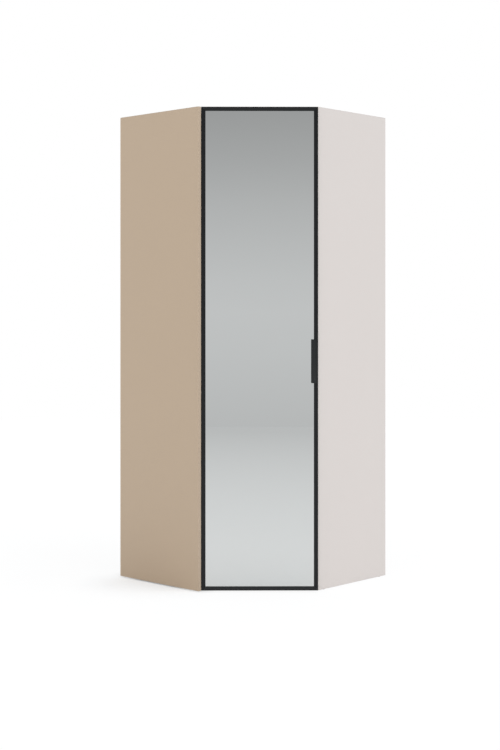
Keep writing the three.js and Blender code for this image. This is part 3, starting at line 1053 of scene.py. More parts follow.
def head_shape(recipe: Recipe, head: Head) -> Socket:
    """Adds the nodes that make one fixing's head, standing on its surface.

    Args:
        recipe: The recipe that the nodes go into.
        head: What is cut into the head.

    Returns:
        The head's mesh.
    """
    radius, height = recipe.size("Head radius"), recipe.size("Head height")
    crown = recipe.times(radius, CROWN_SHARES[head])
    cone = {"Vertices": HEAD_SIDES, "Radius Top": crown, "Radius Bottom": radius, "Depth": height}
    shape = recipe.made("GeometryNodeMeshCone", "Mesh", cone)
    for cutter in head_cutters(recipe, head, radius, height):
        lift = {"Geometry": cutter, "Translation": recipe.vector(0.0, 0.0, height)}
        raised = recipe.made("GeometryNodeTransform", "Geometry", lift)
        both = {"Mesh 1": shape, "Mesh 2": raised}
        shape = recipe.made("GeometryNodeMeshBoolean", "Mesh", both, operation="DIFFERENCE")
    return shape


def fixing_recipe(head: Head, along_path: bool) -> Tree:
    """Builds the recipe that sets a head on each place, turned by a seeded chance.

    Args:
        head: What is cut into the heads.
        along_path: Whether the places are spaced along lines, or are the given points.

    Returns:
        The tree, which is built once for each kind.
    """
    name = f"{head.value} fixings {'along a path' if along_path else 'at points'}"
    found = bpy.data.node_groups.get(name)
    if found is not None:
        return found
    recipe = Recipe(name)
    places = recipe.entry.outputs["Geometry"]
    if along_path:
        path = recipe.made("GeometryNodeMeshToCurve", "Curve", {"Mesh": places})
        sockets = {"Curve": path, "Length": recipe.size("Pitch")}
        places = recipe.made("GeometryNodeResampleCurve", "Curve", sockets, mode="LENGTH")
    named = {"Name": FACING}
    facing = recipe.made("GeometryNodeInputNamedAttribute", "Attribute", named, data_type="FLOAT_VECTOR")
    upright = recipe.made("FunctionNodeAlignRotationToVector", "Rotation", {"Vector": facing}, axis="Z")
    chance = {CHANCE_HIGHEST: 2 * math.pi, "Seed": recipe.size("Seed", "NodeSocketInt")}
    angle = recipe.made("FunctionNodeRandomValue", "Value", chance, data_type="FLOAT")
    spin = recipe.made("FunctionNodeAxisAngleToRotation", "Rotation", {"Angle": angle})
    both = {"Rotation": upright, "Rotate By": spin}
    turned = recipe.made("FunctionNodeRotateRotation", "Rotation", both, rotation_space="LOCAL")
    sockets = {"Points": places, "Instance": head_shape(recipe, head), "Rotation": turned}
    return recipe.close(recipe.made("GeometryNodeInstanceOnPoints", "Instances", sockets))


def sweep_recipe() -> Tree:
    """Builds the recipe that sweeps a round-cornered section along a path with rounded bends.

    Returns:
        The tree, which is built once.
    """
    name = "section along a path"
    found = bpy.data.node_groups.get(name)
    if found is not None:
        return found
    recipe = Recipe(name)
    path = recipe.made("GeometryNodeMeshToCurve", "Curve", {"Mesh": recipe.entry.outputs["Geometry"]})
    bends = {"Curve": path, "Radius": recipe.size("Bend radius"), "Count": BEND_STEPS, "Limit Radius": True}
    bent = recipe.made("GeometryNodeFilletCurve", "Curve", bends, mode="POLY")
    sizes = {"Width": recipe.size("Width"), "Height": recipe.size("Height")}
    flat = recipe.made("GeometryNodeCurvePrimitiveQuadrilateral", "Curve", sizes)
    radius = recipe.size("Corner radius")
    corners = {"Curve": flat, "Radius": radius, "Count": CORNER_STEPS, "Limit Radius": True}
    section = recipe.made("GeometryNodeFilletCurve", "Curve", corners, mode="POLY")
    both = {"Curve": bent, "Profile Curve": section}
    return recipe.close(recipe.made("GeometryNodeCurveToMesh", "Mesh", both))


@dataclass(frozen=True)
class Side:
    """A board's own directions in plan: out of its face, and back along it."""

    out: Vector
    along: Vector

    def span(self, node: str, direction: Vector) -> Pair:
        """Returns how far a node reaches along a direction, as the lowest and highest place."""
        places = [vert.co.dot(direction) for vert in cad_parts[node].data.vertices]
        return min(places), max(places)

    def place(self, out: float, along: float, up: float) -> Vector:
        """Returns the point at a place out of the board, along it and up."""
        return self.out * out + self.along * along + UP * up

    def middle(self, node: str) -> tuple[float, float, float]:
        """Returns a node's outermost place out of the board, its middle along it and its middle height."""
        low, high = self.span(node, self.along)
        bottom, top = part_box(node)
        return self.span(node, self.out)[HIGHEST], (low + high) / 2, (bottom.z + top.z) / 2


LEFT_PANEL = RIGHT_WALL = Side(Vector((HALF_ROOT, HALF_ROOT, 0)), Vector((-HALF_ROOT, HALF_ROOT, 0)))
RIGHT_PANEL = LEFT_WALL = Side(Vector((-HALF_ROOT, HALF_ROOT, 0)), Vector((HALF_ROOT, HALF_ROOT, 0)))


def either_side(middle: Vector, reach: Vector, facing: Vector) -> Spots:
    """Returns the places at a reach to both sides of a middle, with the way that their heads look."""
    return [(middle - reach, facing), (middle + reach, facing)]


@dataclass(frozen=True)
class Fixing:
    """One kind of fixing, by its head: how far that reaches and how high it stands."""

    radius: float
    height: float
    head: Head = Head.CROSS
    finish: Finish = PLATED_STEEL


@dataclass
class Fixings(Assembly):
    """A group of like fixings on one body: screws, grub screws or nails.

    Each place is a point on a surface and the way that the head looks. With a pitch, the places
    come in pairs, and the fixings are spaced from the first of a pair to the second.
    """

    name: str
    kind: Fixing
    places: Spots
    body: Body
    slot: Slot
    pitch: float = 0.0
    seed: int = 7

    def build(self) -> list[Item]:
        """Makes the whole group as one piece."""
        mesh = bmesh.new()
        facing = mesh.verts.layers.float_vector.new(FACING)
        for place, direction in self.places:
            vert = mesh.verts.new(place)
            vert[facing] = direction
        if self.pitch:
            mesh.verts.ensure_lookup_table()
            for start in range(0, len(self.places), 2):
                mesh.edges.new(mesh.verts[start:start + 2])
        kind, tree = self.kind, fixing_recipe(self.kind.head, self.pitch > 0)
        values = {
            "Head radius": kind.radius, "Head height": kind.height, "Pitch": self.pitch, "Seed": self.seed,
        }
        return [settled(cooked(self.name, mesh, tree, kind.finish, values), self.body)]


@dataclass
class ShelfSupports(SoftCopy):
    """Plastic angles under the hat shelf, each with two gussets in its inner corner and two screws."""

    flange: float = 0.003
    gusset: float = 0.0018
    gusset_inset: float = 0.0035
    gusset_reach: float = 0.014
    screw: Fixing = Fixing(0.0032, 0.0012)
    screw_drop: float = 0.015

    def side(self, node: str) -> Side:
        """Returns the directions of the face that carries a support."""
        if "corner" not in node:
            return LEFT_PANEL if "left" in node else RIGHT_PANEL
        wall = LEFT_WALL if node.endswith("left") else RIGHT_WALL
        return Side(-wall.out, wall.along)

    def reworked(self, node: str, mesh: Mesh) -> Mesh:
        """Joins the gussets to the angle."""
        side = self.side(node)
        foot = side.span(node, side.out)[LOWEST] + self.flange - self.gusset / 2
        near, far = side.span(node, side.along)
        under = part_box(node)[HIGHEST].z - self.flange + self.gusset / 2
        tips = ((foot, under), (foot, under - self.gusset_reach), (foot + self.gusset_reach, under))
        axes = Matrix((side.out, UP, side.along)).transposed().to_4x4()
        shells = [mesh]
        for start in (near + self.gusset_inset, far - self.gusset_inset - self.gusset):
            rib = prism([Vector(tip) for tip in tips], start, start + self.gusset)
            rib.transform(axes)
            bmesh.ops.recalc_face_normals(rib, faces=rib.faces)
            shells.append(rib)
        return joined(shells)

    def build(self) -> list[Item]:
        """Makes the supports and their screws."""
        places = []
        for node in self.nodes:
            side = self.side(node)
            face = side.span(node, side.out)[LOWEST] + self.flange
            _, middle, _ = side.middle(node)
            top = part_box(node)[HIGHEST].z
            places.append((side.place(face, middle, top - self.screw_drop), side.out))
            places.append((side.place(face + self.screw_drop / 2, middle, top - self.flange), DOWN))
        screws = Fixings("shelf_support_screws", self.screw, places, self.body, self.slot)
        return super().build() + screws.build()


@dataclass
class Turned(Assembly):
    """Round fittings of one kind, turned about their own axes."""

    nodes: tuple[str, ...]
    axis: Vector
    body: Body
    slot: Slot
    finish: Finish
    steps: int = 48
    chamfer: float = 0.0003

    def profile(self, radius: float, length: float) -> list[Pair]:
        """Returns the radius and the place of each step along the axis: here a chamfered bar."""
        inner, top = radius - self.chamfer, length - self.chamfer
        return [(0, 0), (inner, 0), (radius, self.chamfer), (radius, top), (inner, length), (0, length)]

    def build(self) -> list[Item]:
        """Makes a turned piece for each node."""
        return [self.turn(node) for node in self.nodes]

    def turn(self, node: str) -> Item:
        """Makes the turned piece that stands for one node."""
        low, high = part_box(node)
        size = high - low
        length = abs(size.dot(self.axis))
        radius = max(size / 2 - Vector(map(abs, self.axis)) * size.length)
        start = (low + high) / 2 - self.axis * (length / 2)
        mesh = smoothed(lathe(self.profile(radius, length), turned_to(start, self.axis), self.steps))
        return piece(f"{node}_body", mesh, self.body, self.slot, self.finish, [node])


@dataclass
class Magnets(Turned):
    """Push-in magnets: a sleeve with a rim round the sunk pole face."""

    rim: float = 0.0008
    sink: float = 0.0003

    def profile(self, radius: float, length: float) -> list[Pair]:
        """Returns the sleeve's profile, from the pole face back."""
        inner = radius - self.rim - self.chamfer
        return [
            (0, self.sink), (inner, self.sink), (inner + self.chamfer / 2, 0), (radius - self.chamfer, 0),
            (radius, self.chamfer), (radius, length), (0, length),
        ]


@dataclass
class Bumpers(Turned):
    """Self-adhesive silicone dots with a domed face."""

    arcs: int = 8
    foot_share: float = 1 / 4

    def profile(self, radius: float, length: float) -> list[Pair]:
        """Returns a short foot with a dome over it."""
        foot = length * self.foot_share
        angles = [math.pi / 2 * i / self.arcs for i in range(self.arcs)]
        dome = [(radius * math.cos(a), foot + (length - foot) * math.sin(a)) for a in angles]
        return [(0, 0), (radius, 0), *dome, (0, length)]


@dataclass
class Glides(Turned):
    """Nail-on glides: a dished plastic foot with the nail's head sunk in its middle."""

    nail_share: float = 1 / 3
    sink_share: float = 1 / 2

    def profile(self, radius: float, length: float) -> list[Pair]:
        """Returns the foot's profile, from the floor up."""
        sink, nail, cut = length * self.sink_share, radius * self.nail_share, self.chamfer
        return [
            (0, sink), (nail, sink), (nail + cut, 0), (radius - 2 * cut, 0), (radius, 2 * cut),
            (radius, length - cut), (radius - cut, length), (0, length),
        ]


@dataclass
class HangingRail(Assembly):
    """The oval clothes rail: a thin tube swept along its length, open at both ends."""

    node: str = "hanging_rail"
    wall: float = 0.0015

    def build(self) -> list[Item]:
        """Makes the tube."""
        low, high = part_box(self.node)
        middle = (low + high) / 2
        mesh = bmesh.new()
        ends = [mesh.verts.new((x, middle.y, middle.z)) for x in (low.x, high.x)]
        mesh.edges.new(ends)
        width, height = high.y - low.y, high.z - low.z
        values = {"Bend radius": 0.0, "Width": width, "Height": height, "Corner radius": width / 2}
        item = cooked(f"{self.node}_tube", mesh, sweep_recipe(), POLISHED_STEEL, values)
        skin = item.modifiers.new("wall", "SOLIDIFY")
        skin.thickness, skin.offset = self.wall, -1.0
        made_plain(item)
        item.data.set_sharp_from_angle(angle=SHARP_ANGLE)
        return [settled(item, Body.CARCASS, [self.node])]


@dataclass
class Glazing(Assembly):
    """The mirror with ground edges, and the gasket that lies round it under the frame's lips."""

    ground: float = 0.0006
    show: float = 0.0006
    bend: float = 0.0023
    bead: float = 0.0003

    def build(self) -> list[Item]:
        """Makes the mirror and the gasket."""
        return [self.mirror(), self.gasket()]

    def mirror(self) -> Item:
        """Makes the pane, silvered in front and ground round its edges."""
        mesh = softened(block(*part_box("mirror")), self.ground)
        for face in mesh.faces:
            face.material_index = 0 if face.normal.dot(-BACK) > FLAT_SHARE else 1
        pane = loose_object("mirror_pane", mesh)
        for finish in (SILVERED_GLASS, GLASS_EDGE):
            pane.data.materials.append(finish.material())
        return settled(pane, Body.DOOR, ["mirror"])

    def gasket(self) -> Item:
        """Sweeps the gasket round the pane."""
        low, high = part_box("mirror_gasket")
        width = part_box("frame_bottom_rail")[HIGHEST].z + self.show - low.z
        inset, depth = width / 2, (low.y + high.y) / 2
        mesh = bmesh.new()
        left, right, bottom, top = low.x + inset, high.x - inset, low.z + inset, high.z - inset
        plan = ((left, bottom), (right, bottom), (right, top), (left, top))
        corners = [mesh.verts.new((x, depth, z)) for x, z in plan]
        for i, corner in enumerate(corners):
            mesh.edges.new((corner, corners[(i + 1) % len(corners)]))
        thick = high.y - low.y
        values = {"Bend radius": self.bend, "Width": thick, "Height": width, "Corner radius": self.bead}
        item = cooked("mirror_gasket_strip", mesh, sweep_recipe(), GASKET_RUBBER, values)
        return settled(item, Body.DOOR, ["mirror_gasket"])


@dataclass
class EdgePull(Assembly):
    """The handle: a bent strip with its base on the stile, a web forward and a lip over the mirror."""

    node: str = "handle"
    thickness: float = 0.002
    base: float = 0.015
    outer_bend: float = 0.002
    inner_bend: float = 0.0008
    end_round: float = 0.0007
    arris: float = 0.0004

    def build(self) -> list[Item]:
        """Makes the pull."""
        low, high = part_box(self.node)
        reach, rise = high.x - low.x, high.y - low.y
        wall, web = self.thickness, self.base - self.thickness
        corners = [
            (0, 0, 0), (self.base, 0, self.outer_bend / 2), (self.base, rise - wall, self.inner_bend),
            (reach, rise - wall, self.end_round), (reach, rise, self.end_round), (web, rise, self.outer_bend),
            (web, wall, self.outer_bend), (0, wall, self.end_round),
        ]
        section = rounded([Vector((high.x - across, high.y - out)) for across, out, _ in corners],
                          [bend for *_, bend in corners])
        pull = softened(prism(section, low.z, high.z), self.arris)
        return [piece(f"{self.node}_pull", pull, Body.DOOR, Slot.BLACK_HANDLE, COATED_PULL, [self.node])]


@dataclass
class Hinges(Assembly):
    """The swan-neck hinges: arms and plates on the carcass, bearing blocks and pins in the door."""

    count: int = 4
    arm_round: float = 0.0006
    plate_round: float = 0.0005
    block_round: float = 0.0004
    plate_screw: Fixing = Fixing(0.0035, 0.0012)
    plate_screw_reach: float = 0.020
    arm_screw: Fixing = Fixing(0.0038, 0.0010)
    arm_screw_insets: Pair = (0.012, 0.034)

    def build(self) -> list[Item]:
        """Makes every part of the hinges, and their screws."""
        numbers = range(1, self.count + 1)
        arms, plates, blocks, pins = (
            tuple(f"hinge_{part}_{i}" for i in numbers) for part in ("arm", "plate", "block", "pin")
        )
        plate_places = [place for plate in plates for place in self.plate_places(plate)]
        arm_places = [place for arm in arms for place in self.arm_places(arm)]
        fixed = (Body.CARCASS, Slot.ZINC_CASTING)
        return [
            *SoftCopy(arms, Body.CARCASS, *CASTING, self.arm_round).build(),
            *SoftCopy(plates, Body.CARCASS, *CASTING, self.plate_round).build(),
            *SoftCopy(blocks, Body.DOOR, *CASTING, self.block_round).build(),
            *Turned(pins, UP, Body.DOOR, *STEEL).build(),
            *Fixings("hinge_plate_screws", self.plate_screw, plate_places, *fixed).build(),
            *Fixings("hinge_arm_screws", self.arm_screw, arm_places, *fixed).build(),
        ]

    def plate_places(self, plate: str) -> Spots:
        """Returns the places above and below the arm for a plate's screws."""
        middle = LEFT_PANEL.place(*LEFT_PANEL.middle(plate))
        return either_side(middle, UP * self.plate_screw_reach, LEFT_PANEL.out)

    def arm_places(self, arm: str) -> Spots:
        """Returns the places of the adjusting screws in an arm's foot."""
        face, _, height = LEFT_PANEL.middle(arm)
        rear = LEFT_PANEL.span(arm, LEFT_PANEL.along)[HIGHEST]
        return [
            (LEFT_PANEL.place(face, rear - inset, height), LEFT_PANEL.out) for inset in self.arm_screw_insets
        ]


@dataclass
class BackNails(Assembly):
    """The nails that hold the back panels to every board they cover."""

    nail: Fixing = Fixing(0.003, 0.0005, Head.NAIL)
    pitch: float = 0.14
    edge: float = 0.0045
    board_middle: float = 0.009
    end_gap: float = 0.03
    upright_middle: float = 0.055

    def build(self) -> list[Item]:
        """Sets the rows of nails in both back panels as one piece."""
        pairs = []
        for side, node in ((LEFT_WALL, "left_back_panel"), (RIGHT_WALL, "right_back_panel")):
            pairs += self.rows(side, node)
        fixed = (Body.CARCASS, Slot.BRIGHT_STEEL)
        return Fixings("back_panel_nails", self.nail, pairs, *fixed, self.pitch).build()

    def rows(self, side: Side, node: str) -> Spots:
        """Returns both ends of each row of nails in one panel."""
        face = side.span(node, side.out)[HIGHEST]
        outer, corner = side.span(node, side.along)
        low, high = (point.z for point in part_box(node))
        shelf = sum(point.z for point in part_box("hat_shelf")) / 2
        ends = []
        for along in (outer + self.edge, corner - self.upright_middle):
            ends += [(along, low + self.end_gap), (along, high - self.end_gap)]
        for up in (low + self.board_middle, shelf, high - self.board_middle):
            ends += [(outer + self.end_gap, up), (corner - self.end_gap, up)]
        return [(side.place(face, along, up), side.out) for along, up in ends]


@dataclass(frozen=True)
class CamFittings:
    """Covered cam fittings that tie the top and bottom to the side panels: pockets and caps."""

    cap: Fixing = Fixing(0.0085, 0.0011, Head.CAP, PALE_EDGING)
    ease: float = 0.0002
    sink: float = 0.0012
    panel_reach: float = 0.034
    shares: Pair = (0.16, 0.84)

    def spots(self, node: str, up: bool) -> list[Vector]:
        """Returns the middle of each pocket on a board's upper or lower face."""
        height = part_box(node)[HIGHEST if up else LOWEST].z
        spots = []
        for side, panel in ((LEFT_PANEL, "left_side_panel"), (RIGHT_PANEL, "right_side_panel")):
            front, back = side.span(panel, side.along)
            face = side.span(panel, side.out)[HIGHEST]
            spots += [side.place(face + self.panel_reach, front + (back - front) * share, height)
                      for share in self.shares]
        return spots

    def pockets(self, node: str, up: bool) -> list[Bore]:
        """Returns the pockets' bores: where each goes, its radius and its depth."""
        inwards, radius = DOWN if up else UP, self.cap.radius + self.ease
        return [(turned_to(spot, inwards), radius, self.sink) for spot in self.spots(node, up)]

    def caps(self) -> Fixings:
        """Returns the caps that close the pockets of the top and the bottom."""
        places = []
        for node, up in (("top_panel", True), ("bottom_panel", False)):
            outwards = UP if up else DOWN
            places += [(spot - outwards * self.sink, outwards) for spot in self.spots(node, up)]
        return Fixings("cam_caps", self.cap, places, Body.CARCASS, Slot.PALE_BOARD)


@dataclass
class Carcass(Assembly):
    """The five-sided body: boards, back panels, hat shelf, rail and the small fittings in them."""

    cams: CamFittings = CamFittings()
    magnet_ease: float = 0.00015
    back_arris: float = 0.0003
    bracket_round: float = 0.0007
    bracket_screw: Fixing = Fixing(0.0034, 0.0012)
    bracket_screw_reach: float = 0.021
    bracket_flange: float = 0.004
    panel_screw: Fixing = Fixing(0.0036, 0.0012)
    panel_screw_inset: float = 0.085
    panel_screw_shares: tuple[float, ...] = (0.12, 0.45, 0.75, 0.92)

    def build(self) -> list[Item]:
        """Makes the whole carcass."""
        return [*self.boards(), *self.back(), *self.rail(), *self.fittings()]

    def magnet_bore(self, magnet: str, board: str) -> Bore:
        """Returns the bore that a push-in magnet sits in."""
        low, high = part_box(magnet)
        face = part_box(board)[LOWEST].y
        mouth = Vector(((low.x + high.x) / 2, face, (low.z + high.z) / 2))
        return turned_to(mouth, BACK), (high.x - low.x) / 2 + self.magnet_ease, high.y - face

    def bores(self, end: str, up: bool) -> tuple[Bore, ...]:
        """Returns the bores of the top or the bottom: its magnet's, and its cam fittings' pockets."""
        board = f"{end}_panel"
        return self.magnet_bore(f"magnet_{end}", board), *self.cams.pockets(board, up)

    def boards(self) -> list[Item]:
        """Makes the laminated boards with their edging."""
        pale = (Slot.PALE_BOARD, PALE_LAMINATE, PALE_EDGING)
        front = (Facing.FRONT,)
        boards = [
            Board("left_end_panel", Slot.BEIGE_BOARD, BEIGE_LAMINATE, BEIGE_EDGING,
                  (Facing.ALONG_RIGHT_WALL,), band_on_top=True),
            Board("left_side_panel", *pale, front, band_on_top=True),
            Board("right_side_panel", *pale, front, band_on_top=True),
            Board("bottom_panel", *pale, front, bores=self.bores("bottom", False)),
            Board("top_panel", *pale, front, bores=self.bores("top", True)),
            Board("hat_shelf", *pale, front),
            Board("corner_upright_left", *pale, (Facing.ALONG_LEFT_WALL,)),
            Board("corner_upright_right", *pale, (Facing.ALONG_RIGHT_WALL,)),
        ]
        return [item for board in boards for item in board.build()]

    def back(self) -> list[Item]:
        """Makes the two back panels and their nails."""
        panels = SoftCopy(("left_back_panel", "right_back_panel"), Body.CARCASS, Slot.THIN_BOARD,
                          PAINTED_HARDBOARD, self.back_arris)
        return panels.build() + BackNails().build()

    def rail(self) -> list[Item]:
        """Makes the rail, its brackets and their screws."""
        brackets = ("rail_bracket_left", "rail_bracket_right")
        places = []
        for bracket in brackets:
            low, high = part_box(bracket)
            middle = Vector(((low.x + high.x) / 2, (low.y + high.y) / 2, high.z - self.bracket_flange))
            places += either_side(middle, BACK * self.bracket_screw_reach, DOWN)
        fixed = (Body.CARCASS, Slot.BRIGHT_STEEL)
        screws = Fixings("rail_bracket_screws", self.bracket_screw, places, *fixed)
        castings = SoftCopy(brackets, *fixed, PLATED_CASTING, self.bracket_round)
        return HangingRail().build() + castings.build() + screws.build()

    def end_panel_screws(self) -> Fixings:
        """Returns the screws that hold the end panel, driven through the side panel from inside."""
        panel = "left_side_panel"
        face = LEFT_PANEL.span(panel, LEFT_PANEL.out)[HIGHEST]
        front, back = LEFT_PANEL.span(panel, LEFT_PANEL.along)
        low, high = (corner.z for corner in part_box(panel))
        places = []
        for share in self.panel_screw_shares:
            up = low + (high - low) * share
            for along in (front + self.panel_screw_inset, back - self.panel_screw_inset):
                places.append((LEFT_PANEL.place(face, along, up), LEFT_PANEL.out))
        return Fixings("end_panel_screws", self.panel_screw, places, Body.CARCASS, Slot.BRIGHT_STEEL)

    def fittings(self) -> list[Item]:
        """Makes the shelf supports, magnets, glides, cam caps and the end panel's screws."""
        plastic = (Body.CARCASS, Slot.GREY_PLASTIC, GREY_MOULDING)
        return [
            *ShelfSupports(nodes_of("shelf_support"), *plastic).build(),
            *Glides(nodes_of("glide"), UP, *plastic).build(),
            *Magnets(("magnet_bottom", "magnet_top"), BACK, Body.CARCASS, *STEEL).build(),
            *self.cams.caps().build(),
            *self.end_panel_screws().build(),
        ]


@dataclass
class Door(Assembly):
    """The mirror door: a mitred frame, its glazing, the pull and what meets the carcass."""

    frame_round: float = 0.0004
    frame_steps: int = 3
    strike_round: float = 0.0003
    strike_screw: Fixing = Fixing(0.0026, 0.0006)
    strike_screw_reach: float = 0.011
    grub: Fixing = Fixing(0.0021, 0.0003, Head.HEXAGON)
    grub_reach: float = 0.030
    tube: float = 0.014

    def build(self) -> list[Item]:
        """Makes the whole door but its hinges."""
        return [*self.profiles(), *Glazing().build(), *EdgePull().build(), *self.catches()]

    def profiles(self) -> list[Item]:
        """Makes the frame, the connectors in it, their grub screws and the mirror's backing."""
        aluminium, frame_edge = (Body.DOOR, Slot.BLACK_ALUMINIUM), (self.frame_round, self.frame_steps)
        uprights = ("frame_hinge_stile", "frame_handle_stile")
        levels = ("frame_top_rail", "frame_bottom_rail")
        return [
            # The uprights' darker black is painted shade.
            *SoftCopy(uprights, *aluminium, SHADED_ANODISED_UPRIGHT, *frame_edge).build(),
            *SoftCopy(levels, *aluminium, ANODISED_LEVEL, *frame_edge).build(),
            *SoftCopy(nodes_of("corner_connector"), Body.DOOR, *CASTING, self.frame_round).build(),
            *SoftCopy(("mirror_backing",), Body.DOOR, Slot.BROWN_BOARD, RAW_HARDBOARD).build(),
            *self.grub_screws().build(),
        ]

    def grub_screws(self) -> Fixings:
        """Returns the grub screws that clamp each corner connector, seen on the frame's back."""
        low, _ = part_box("frame_hinge_stile")
        _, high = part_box("frame_handle_stile")
        bottom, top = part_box("frame_bottom_rail")[LOWEST].z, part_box("frame_top_rail")[HIGHEST].z
        near, far = self.tube / 2, self.grub_reach
        places = []
        for across, up in ((near, far), (far, near)):
            for x in (low.x + across, high.x - across):
                places += [(Vector((x, high.y, z)), BACK) for z in (bottom + up, top - up)]
        return Fixings("frame_grub_screws", self.grub, places, Body.DOOR, Slot.ZINC_CASTING)

    def catches(self) -> list[Item]:
        """Makes the strikes with their screws, and the bumpers."""
        strikes = ("strike_bottom", "strike_top")
        places = []
        for strike in strikes:
            low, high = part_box(strike)
            middle = Vector(((low.x + high.x) / 2, high.y, (low.z + high.z) / 2))
            places += either_side(middle, ACROSS * self.strike_screw_reach, BACK)
        screws = Fixings("strike_screws", self.strike_screw, places, Body.DOOR, Slot.BRIGHT_STEEL)
        plates = SoftCopy(strikes, Body.DOOR, *STEEL, self.strike_round)
        dots = Bumpers(("bumper_bottom", "bumper_top"), BACK, Body.DOOR, Slot.CLEAR_SILICONE, SILICONE)
        return plates.build() + screws.build() + dots.build()


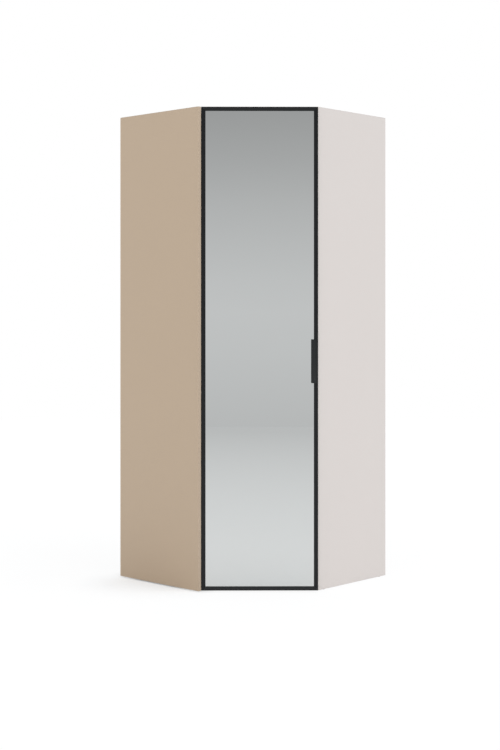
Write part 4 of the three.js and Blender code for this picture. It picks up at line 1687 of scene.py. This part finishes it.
@dataclass(frozen=True)
class Studio:
    """A pale studio: floor, soft light and a level camera, none of it part of the wardrobe.

    Seen straight on, the floor and the room are white, and the floor keeps the wardrobe's shadow, which
    painted shadow deepens and cools beside the left side; there a painted darker patch of floor also gives
    back less light.
    Reflections see the room's wall darken upwards, and a painted glow on the floor that greys with distance.
    Each of the wall's greys stands beside the sine of the rise at which it is seen.
    """

    floor_reach: float = 9.4
    bounce: Colour = (0.80, 0.80, 0.80)
    # Painted shadow: nearer this place the camera sees more of the floor's shade, with a cooler painted tint.
    painted_shadow_place: tuple[float, float, float] = (-0.52, -0.36, 0.0)
    painted_shadow_reach: Pair = (0.14, 0.36)
    painted_shadow_shares: Pair = (0.75, 0.12)
    painted_shadow_tint: Colour = (0.995, 1.02, 1.045)
    # Painted shade: beside the left side the floor gives back less light, darkening the wardrobe's foot
    # there.
    painted_shade_bounce: Colour = (0.52, 0.48, 0.44)
    painted_shade_bounce_reach: Pair = (0.12, 0.50)
    reflected_share: float = 0.48
    # Painted glow: in reflections the floor glows, brightest near the wardrobe and fading with distance.
    painted_glow_reach: Pair = (1.6, 8.8)
    painted_glow_levels: Pair = (0.195, 0.0)
    ambient: float = 0.90
    front_lift: float = 0.30
    wall_span: Pair = (-0.10, 0.20)
    wall_greys: tuple[Pair, ...] = (
        (-0.08, 188), (-0.027, 195.5), (0.0, 197.5), (0.024, 194.5), (0.052, 188), (0.081, 180),
        (0.109, 169.5), (0.142, 159), (0.2, 142),
    )
    key_strength: float = 0.65
    key_spread: float = 50.0
    key_azimuth: float = 66.0
    key_elevation: float = 60.0
    camera_place: tuple[float, float, float] = (-0.344, -6.693, 1.2645)
    camera_turn: float = -0.4
    lens: float = 65.66
    sensor: float = 36.0
    shift: Pair = (0.0786, -0.0833)

    def build(self) -> None:
        """Makes the floor, the room's light and the camera."""
        self.floor()
        self.room()
        self.key()
        self.camera()

    def rays(self, graph: Graph) -> tuple[Socket, Socket]:
        """Returns whether a ray sees the studio directly, and whether it sees it reflected."""
        path = graph.add("ShaderNodeLightPath")
        straight = graph.maths("MAXIMUM", path.outputs["Is Camera Ray"], path.outputs["Is Transmission Ray"])
        return straight, path.outputs["Is Glossy Ray"]

    def floor(self) -> None:
        """Makes the floor, white to the camera but for the shadow on it, which painted shadow deepens beside
        the left side; bounced light meets a painted darker patch there, and reflections a painted glow.
        """
        reach = self.floor_reach
        mesh = bmesh.new()
        corners = [mesh.verts.new((x * reach, y * reach, 0)) for x, y in ((-1, -1), (1, -1), (1, 1), (-1, 1))]
        mesh.faces.new(corners)
        item = loose_object("studio_floor", mesh)
        material = bpy.data.materials.new("studio floor")
        graph = bare_graph(material)
        straight, mirrored = self.rays(graph)
        place = graph.place()
        away = graph.add("ShaderNodeVectorMath", {0: place}, operation="LENGTH").outputs["Value"]
        # Painted shadow: the floor's shade shows most beside the wardrobe's left side, and is tinted cooler
        # there.
        ends = {0: place, 1: self.painted_shadow_place}
        beside = graph.add("ShaderNodeVectorMath", ends, operation="DISTANCE").outputs["Value"]
        share = graph.remap(beside, self.painted_shadow_reach, self.painted_shadow_shares)
        seen = self.lit(graph, share, graph.maths("SUBTRACT", 1.0, share), self.painted_shadow_tint)
        # Painted glow on the floor, seen only in reflections, fading with distance.
        painted_glow = graph.remap(away, self.painted_glow_reach, self.painted_glow_levels)
        reflected = self.lit(graph, self.reflected_share, painted_glow)
        # Painted shade: a darker patch of floor beside the left side, which darkens the wardrobe's foot.
        beyond_painted_shade = graph.remap(beside, self.painted_shade_bounce_reach, UNIT)
        bounce = graph.blend(beyond_painted_shade, (*self.painted_shade_bounce, 1.0), (*self.bounce, 1.0))
        bounced = graph.add("ShaderNodeBsdfDiffuse", {"Color": bounce}).outputs[0]
        surface = graph.choose(mirrored, graph.choose(straight, bounced, seen), reflected)
        graph.add("ShaderNodeOutputMaterial", {"Surface": surface})
        item.data.materials.append(material)

    def lit(self, graph: Graph, diffuse: float | Socket, glow: Socket, tint: Colour = WHITE) -> Socket:
        """Returns a white surface that takes part of its brightness from the light on it."""
        shine = graph.add("ShaderNodeEmission", {"Strength": glow}).outputs[0]
        return graph.add("ShaderNodeAddShader", {0: self.matt(graph, diffuse, tint), 1: shine}).outputs[0]

    def matt(self, graph: Graph, level: float | Socket, tint: Colour = WHITE) -> Socket:
        """Returns a matt grey surface that gives back a share of the light on it."""
        parts = {name: graph.times(level, part) for name, part in zip(("Red", "Green", "Blue"), tint)}
        grey = graph.add("ShaderNodeCombineColor", parts).outputs["Color"]
        return graph.add("ShaderNodeBsdfDiffuse", {"Color": grey}).outputs[0]

    def room(self) -> None:
        """Makes the room: white straight on, soft light all round, and a grey wall in reflections."""
        world = bpy.data.worlds.new("studio room")
        bpy.context.scene.world = world
        graph = bare_graph(world)
        straight, mirrored = self.rays(graph)
        direction = graph.add("ShaderNodeTexCoord").outputs["Generated"]
        axes = graph.add("ShaderNodeSeparateXYZ", {"Vector": direction}).outputs
        backwards = graph.times(axes["Y"], self.ambient * self.front_lift)
        ways = (
            ((*WHITE, 1.0), graph.maths("SUBTRACT", self.ambient, backwards)),
            ((*WHITE, 1.0), 1.0),
            (self.wall_tone(graph, axes["Z"]), 1.0),
        )
        even, white, grey = (
            graph.add("ShaderNodeBackground", {"Color": colour, "Strength": strength}).outputs[0]
            for colour, strength in ways
        )
        surface = graph.choose(mirrored, graph.choose(straight, even, white), grey)
        graph.add("ShaderNodeOutputWorld", {"Surface": surface})

    def wall_tone(self, graph: Graph, rise: Socket) -> Socket:
        """Returns the reflected wall's grey by the height of the view, brightest at eye level."""
        ramp = graph.add("ShaderNodeValToRGB", {"Fac": graph.remap(rise, self.wall_span, UNIT)})
        ramp.color_ramp.interpolation = "LINEAR"
        low, high = self.wall_span
        elements = ramp.color_ramp.elements
        while len(elements) < len(self.wall_greys):
            elements.new(1.0)
        for element, (sine, grey) in zip(elements, self.wall_greys):
            element.position = (sine - low) / (high - low)
            element.color = linear((grey, grey, grey))
        return ramp.outputs["Color"]

    def key(self) -> None:
        """Makes the soft key light from the front right."""
        light = bpy.data.lights.new("key light", "SUN")
        light.energy, light.angle = self.key_strength, math.radians(self.key_spread)
        lamp = placed("key light", light)
        azimuth, elevation = math.radians(self.key_azimuth), math.radians(self.key_elevation)
        level = math.cos(elevation)
        towards = Vector((math.sin(azimuth) * level, -math.cos(azimuth) * level, math.sin(elevation)))
        lamp.rotation_mode = "QUATERNION"
        lamp.rotation_quaternion = towards.to_track_quat("Z", "Y")
        lamp.visible_glossy = False

    def camera(self) -> None:
        """Makes the level camera, shifted to frame the wardrobe."""
        data = bpy.data.cameras.new("camera")
        data.lens, data.sensor_width = self.lens, self.sensor
        data.shift_x, data.shift_y = self.shift
        item = placed("camera", data)
        item.location = self.camera_place
        item.rotation_euler = (math.pi / 2, 0, math.radians(self.camera_turn))
        bpy.context.scene.camera = item


def main() -> None:
    """Builds the wardrobe's pieces in order, then the studio round it."""
    logging.basicConfig(level=logging.INFO, format="%(message)s")
    bpy.context.scene.view_settings.view_transform = "Standard"
    for assembly in (Carcass(), Hinges(), Door()):
        assembly.report()
    Studio().build()


if __name__ == "__main__":
    main()
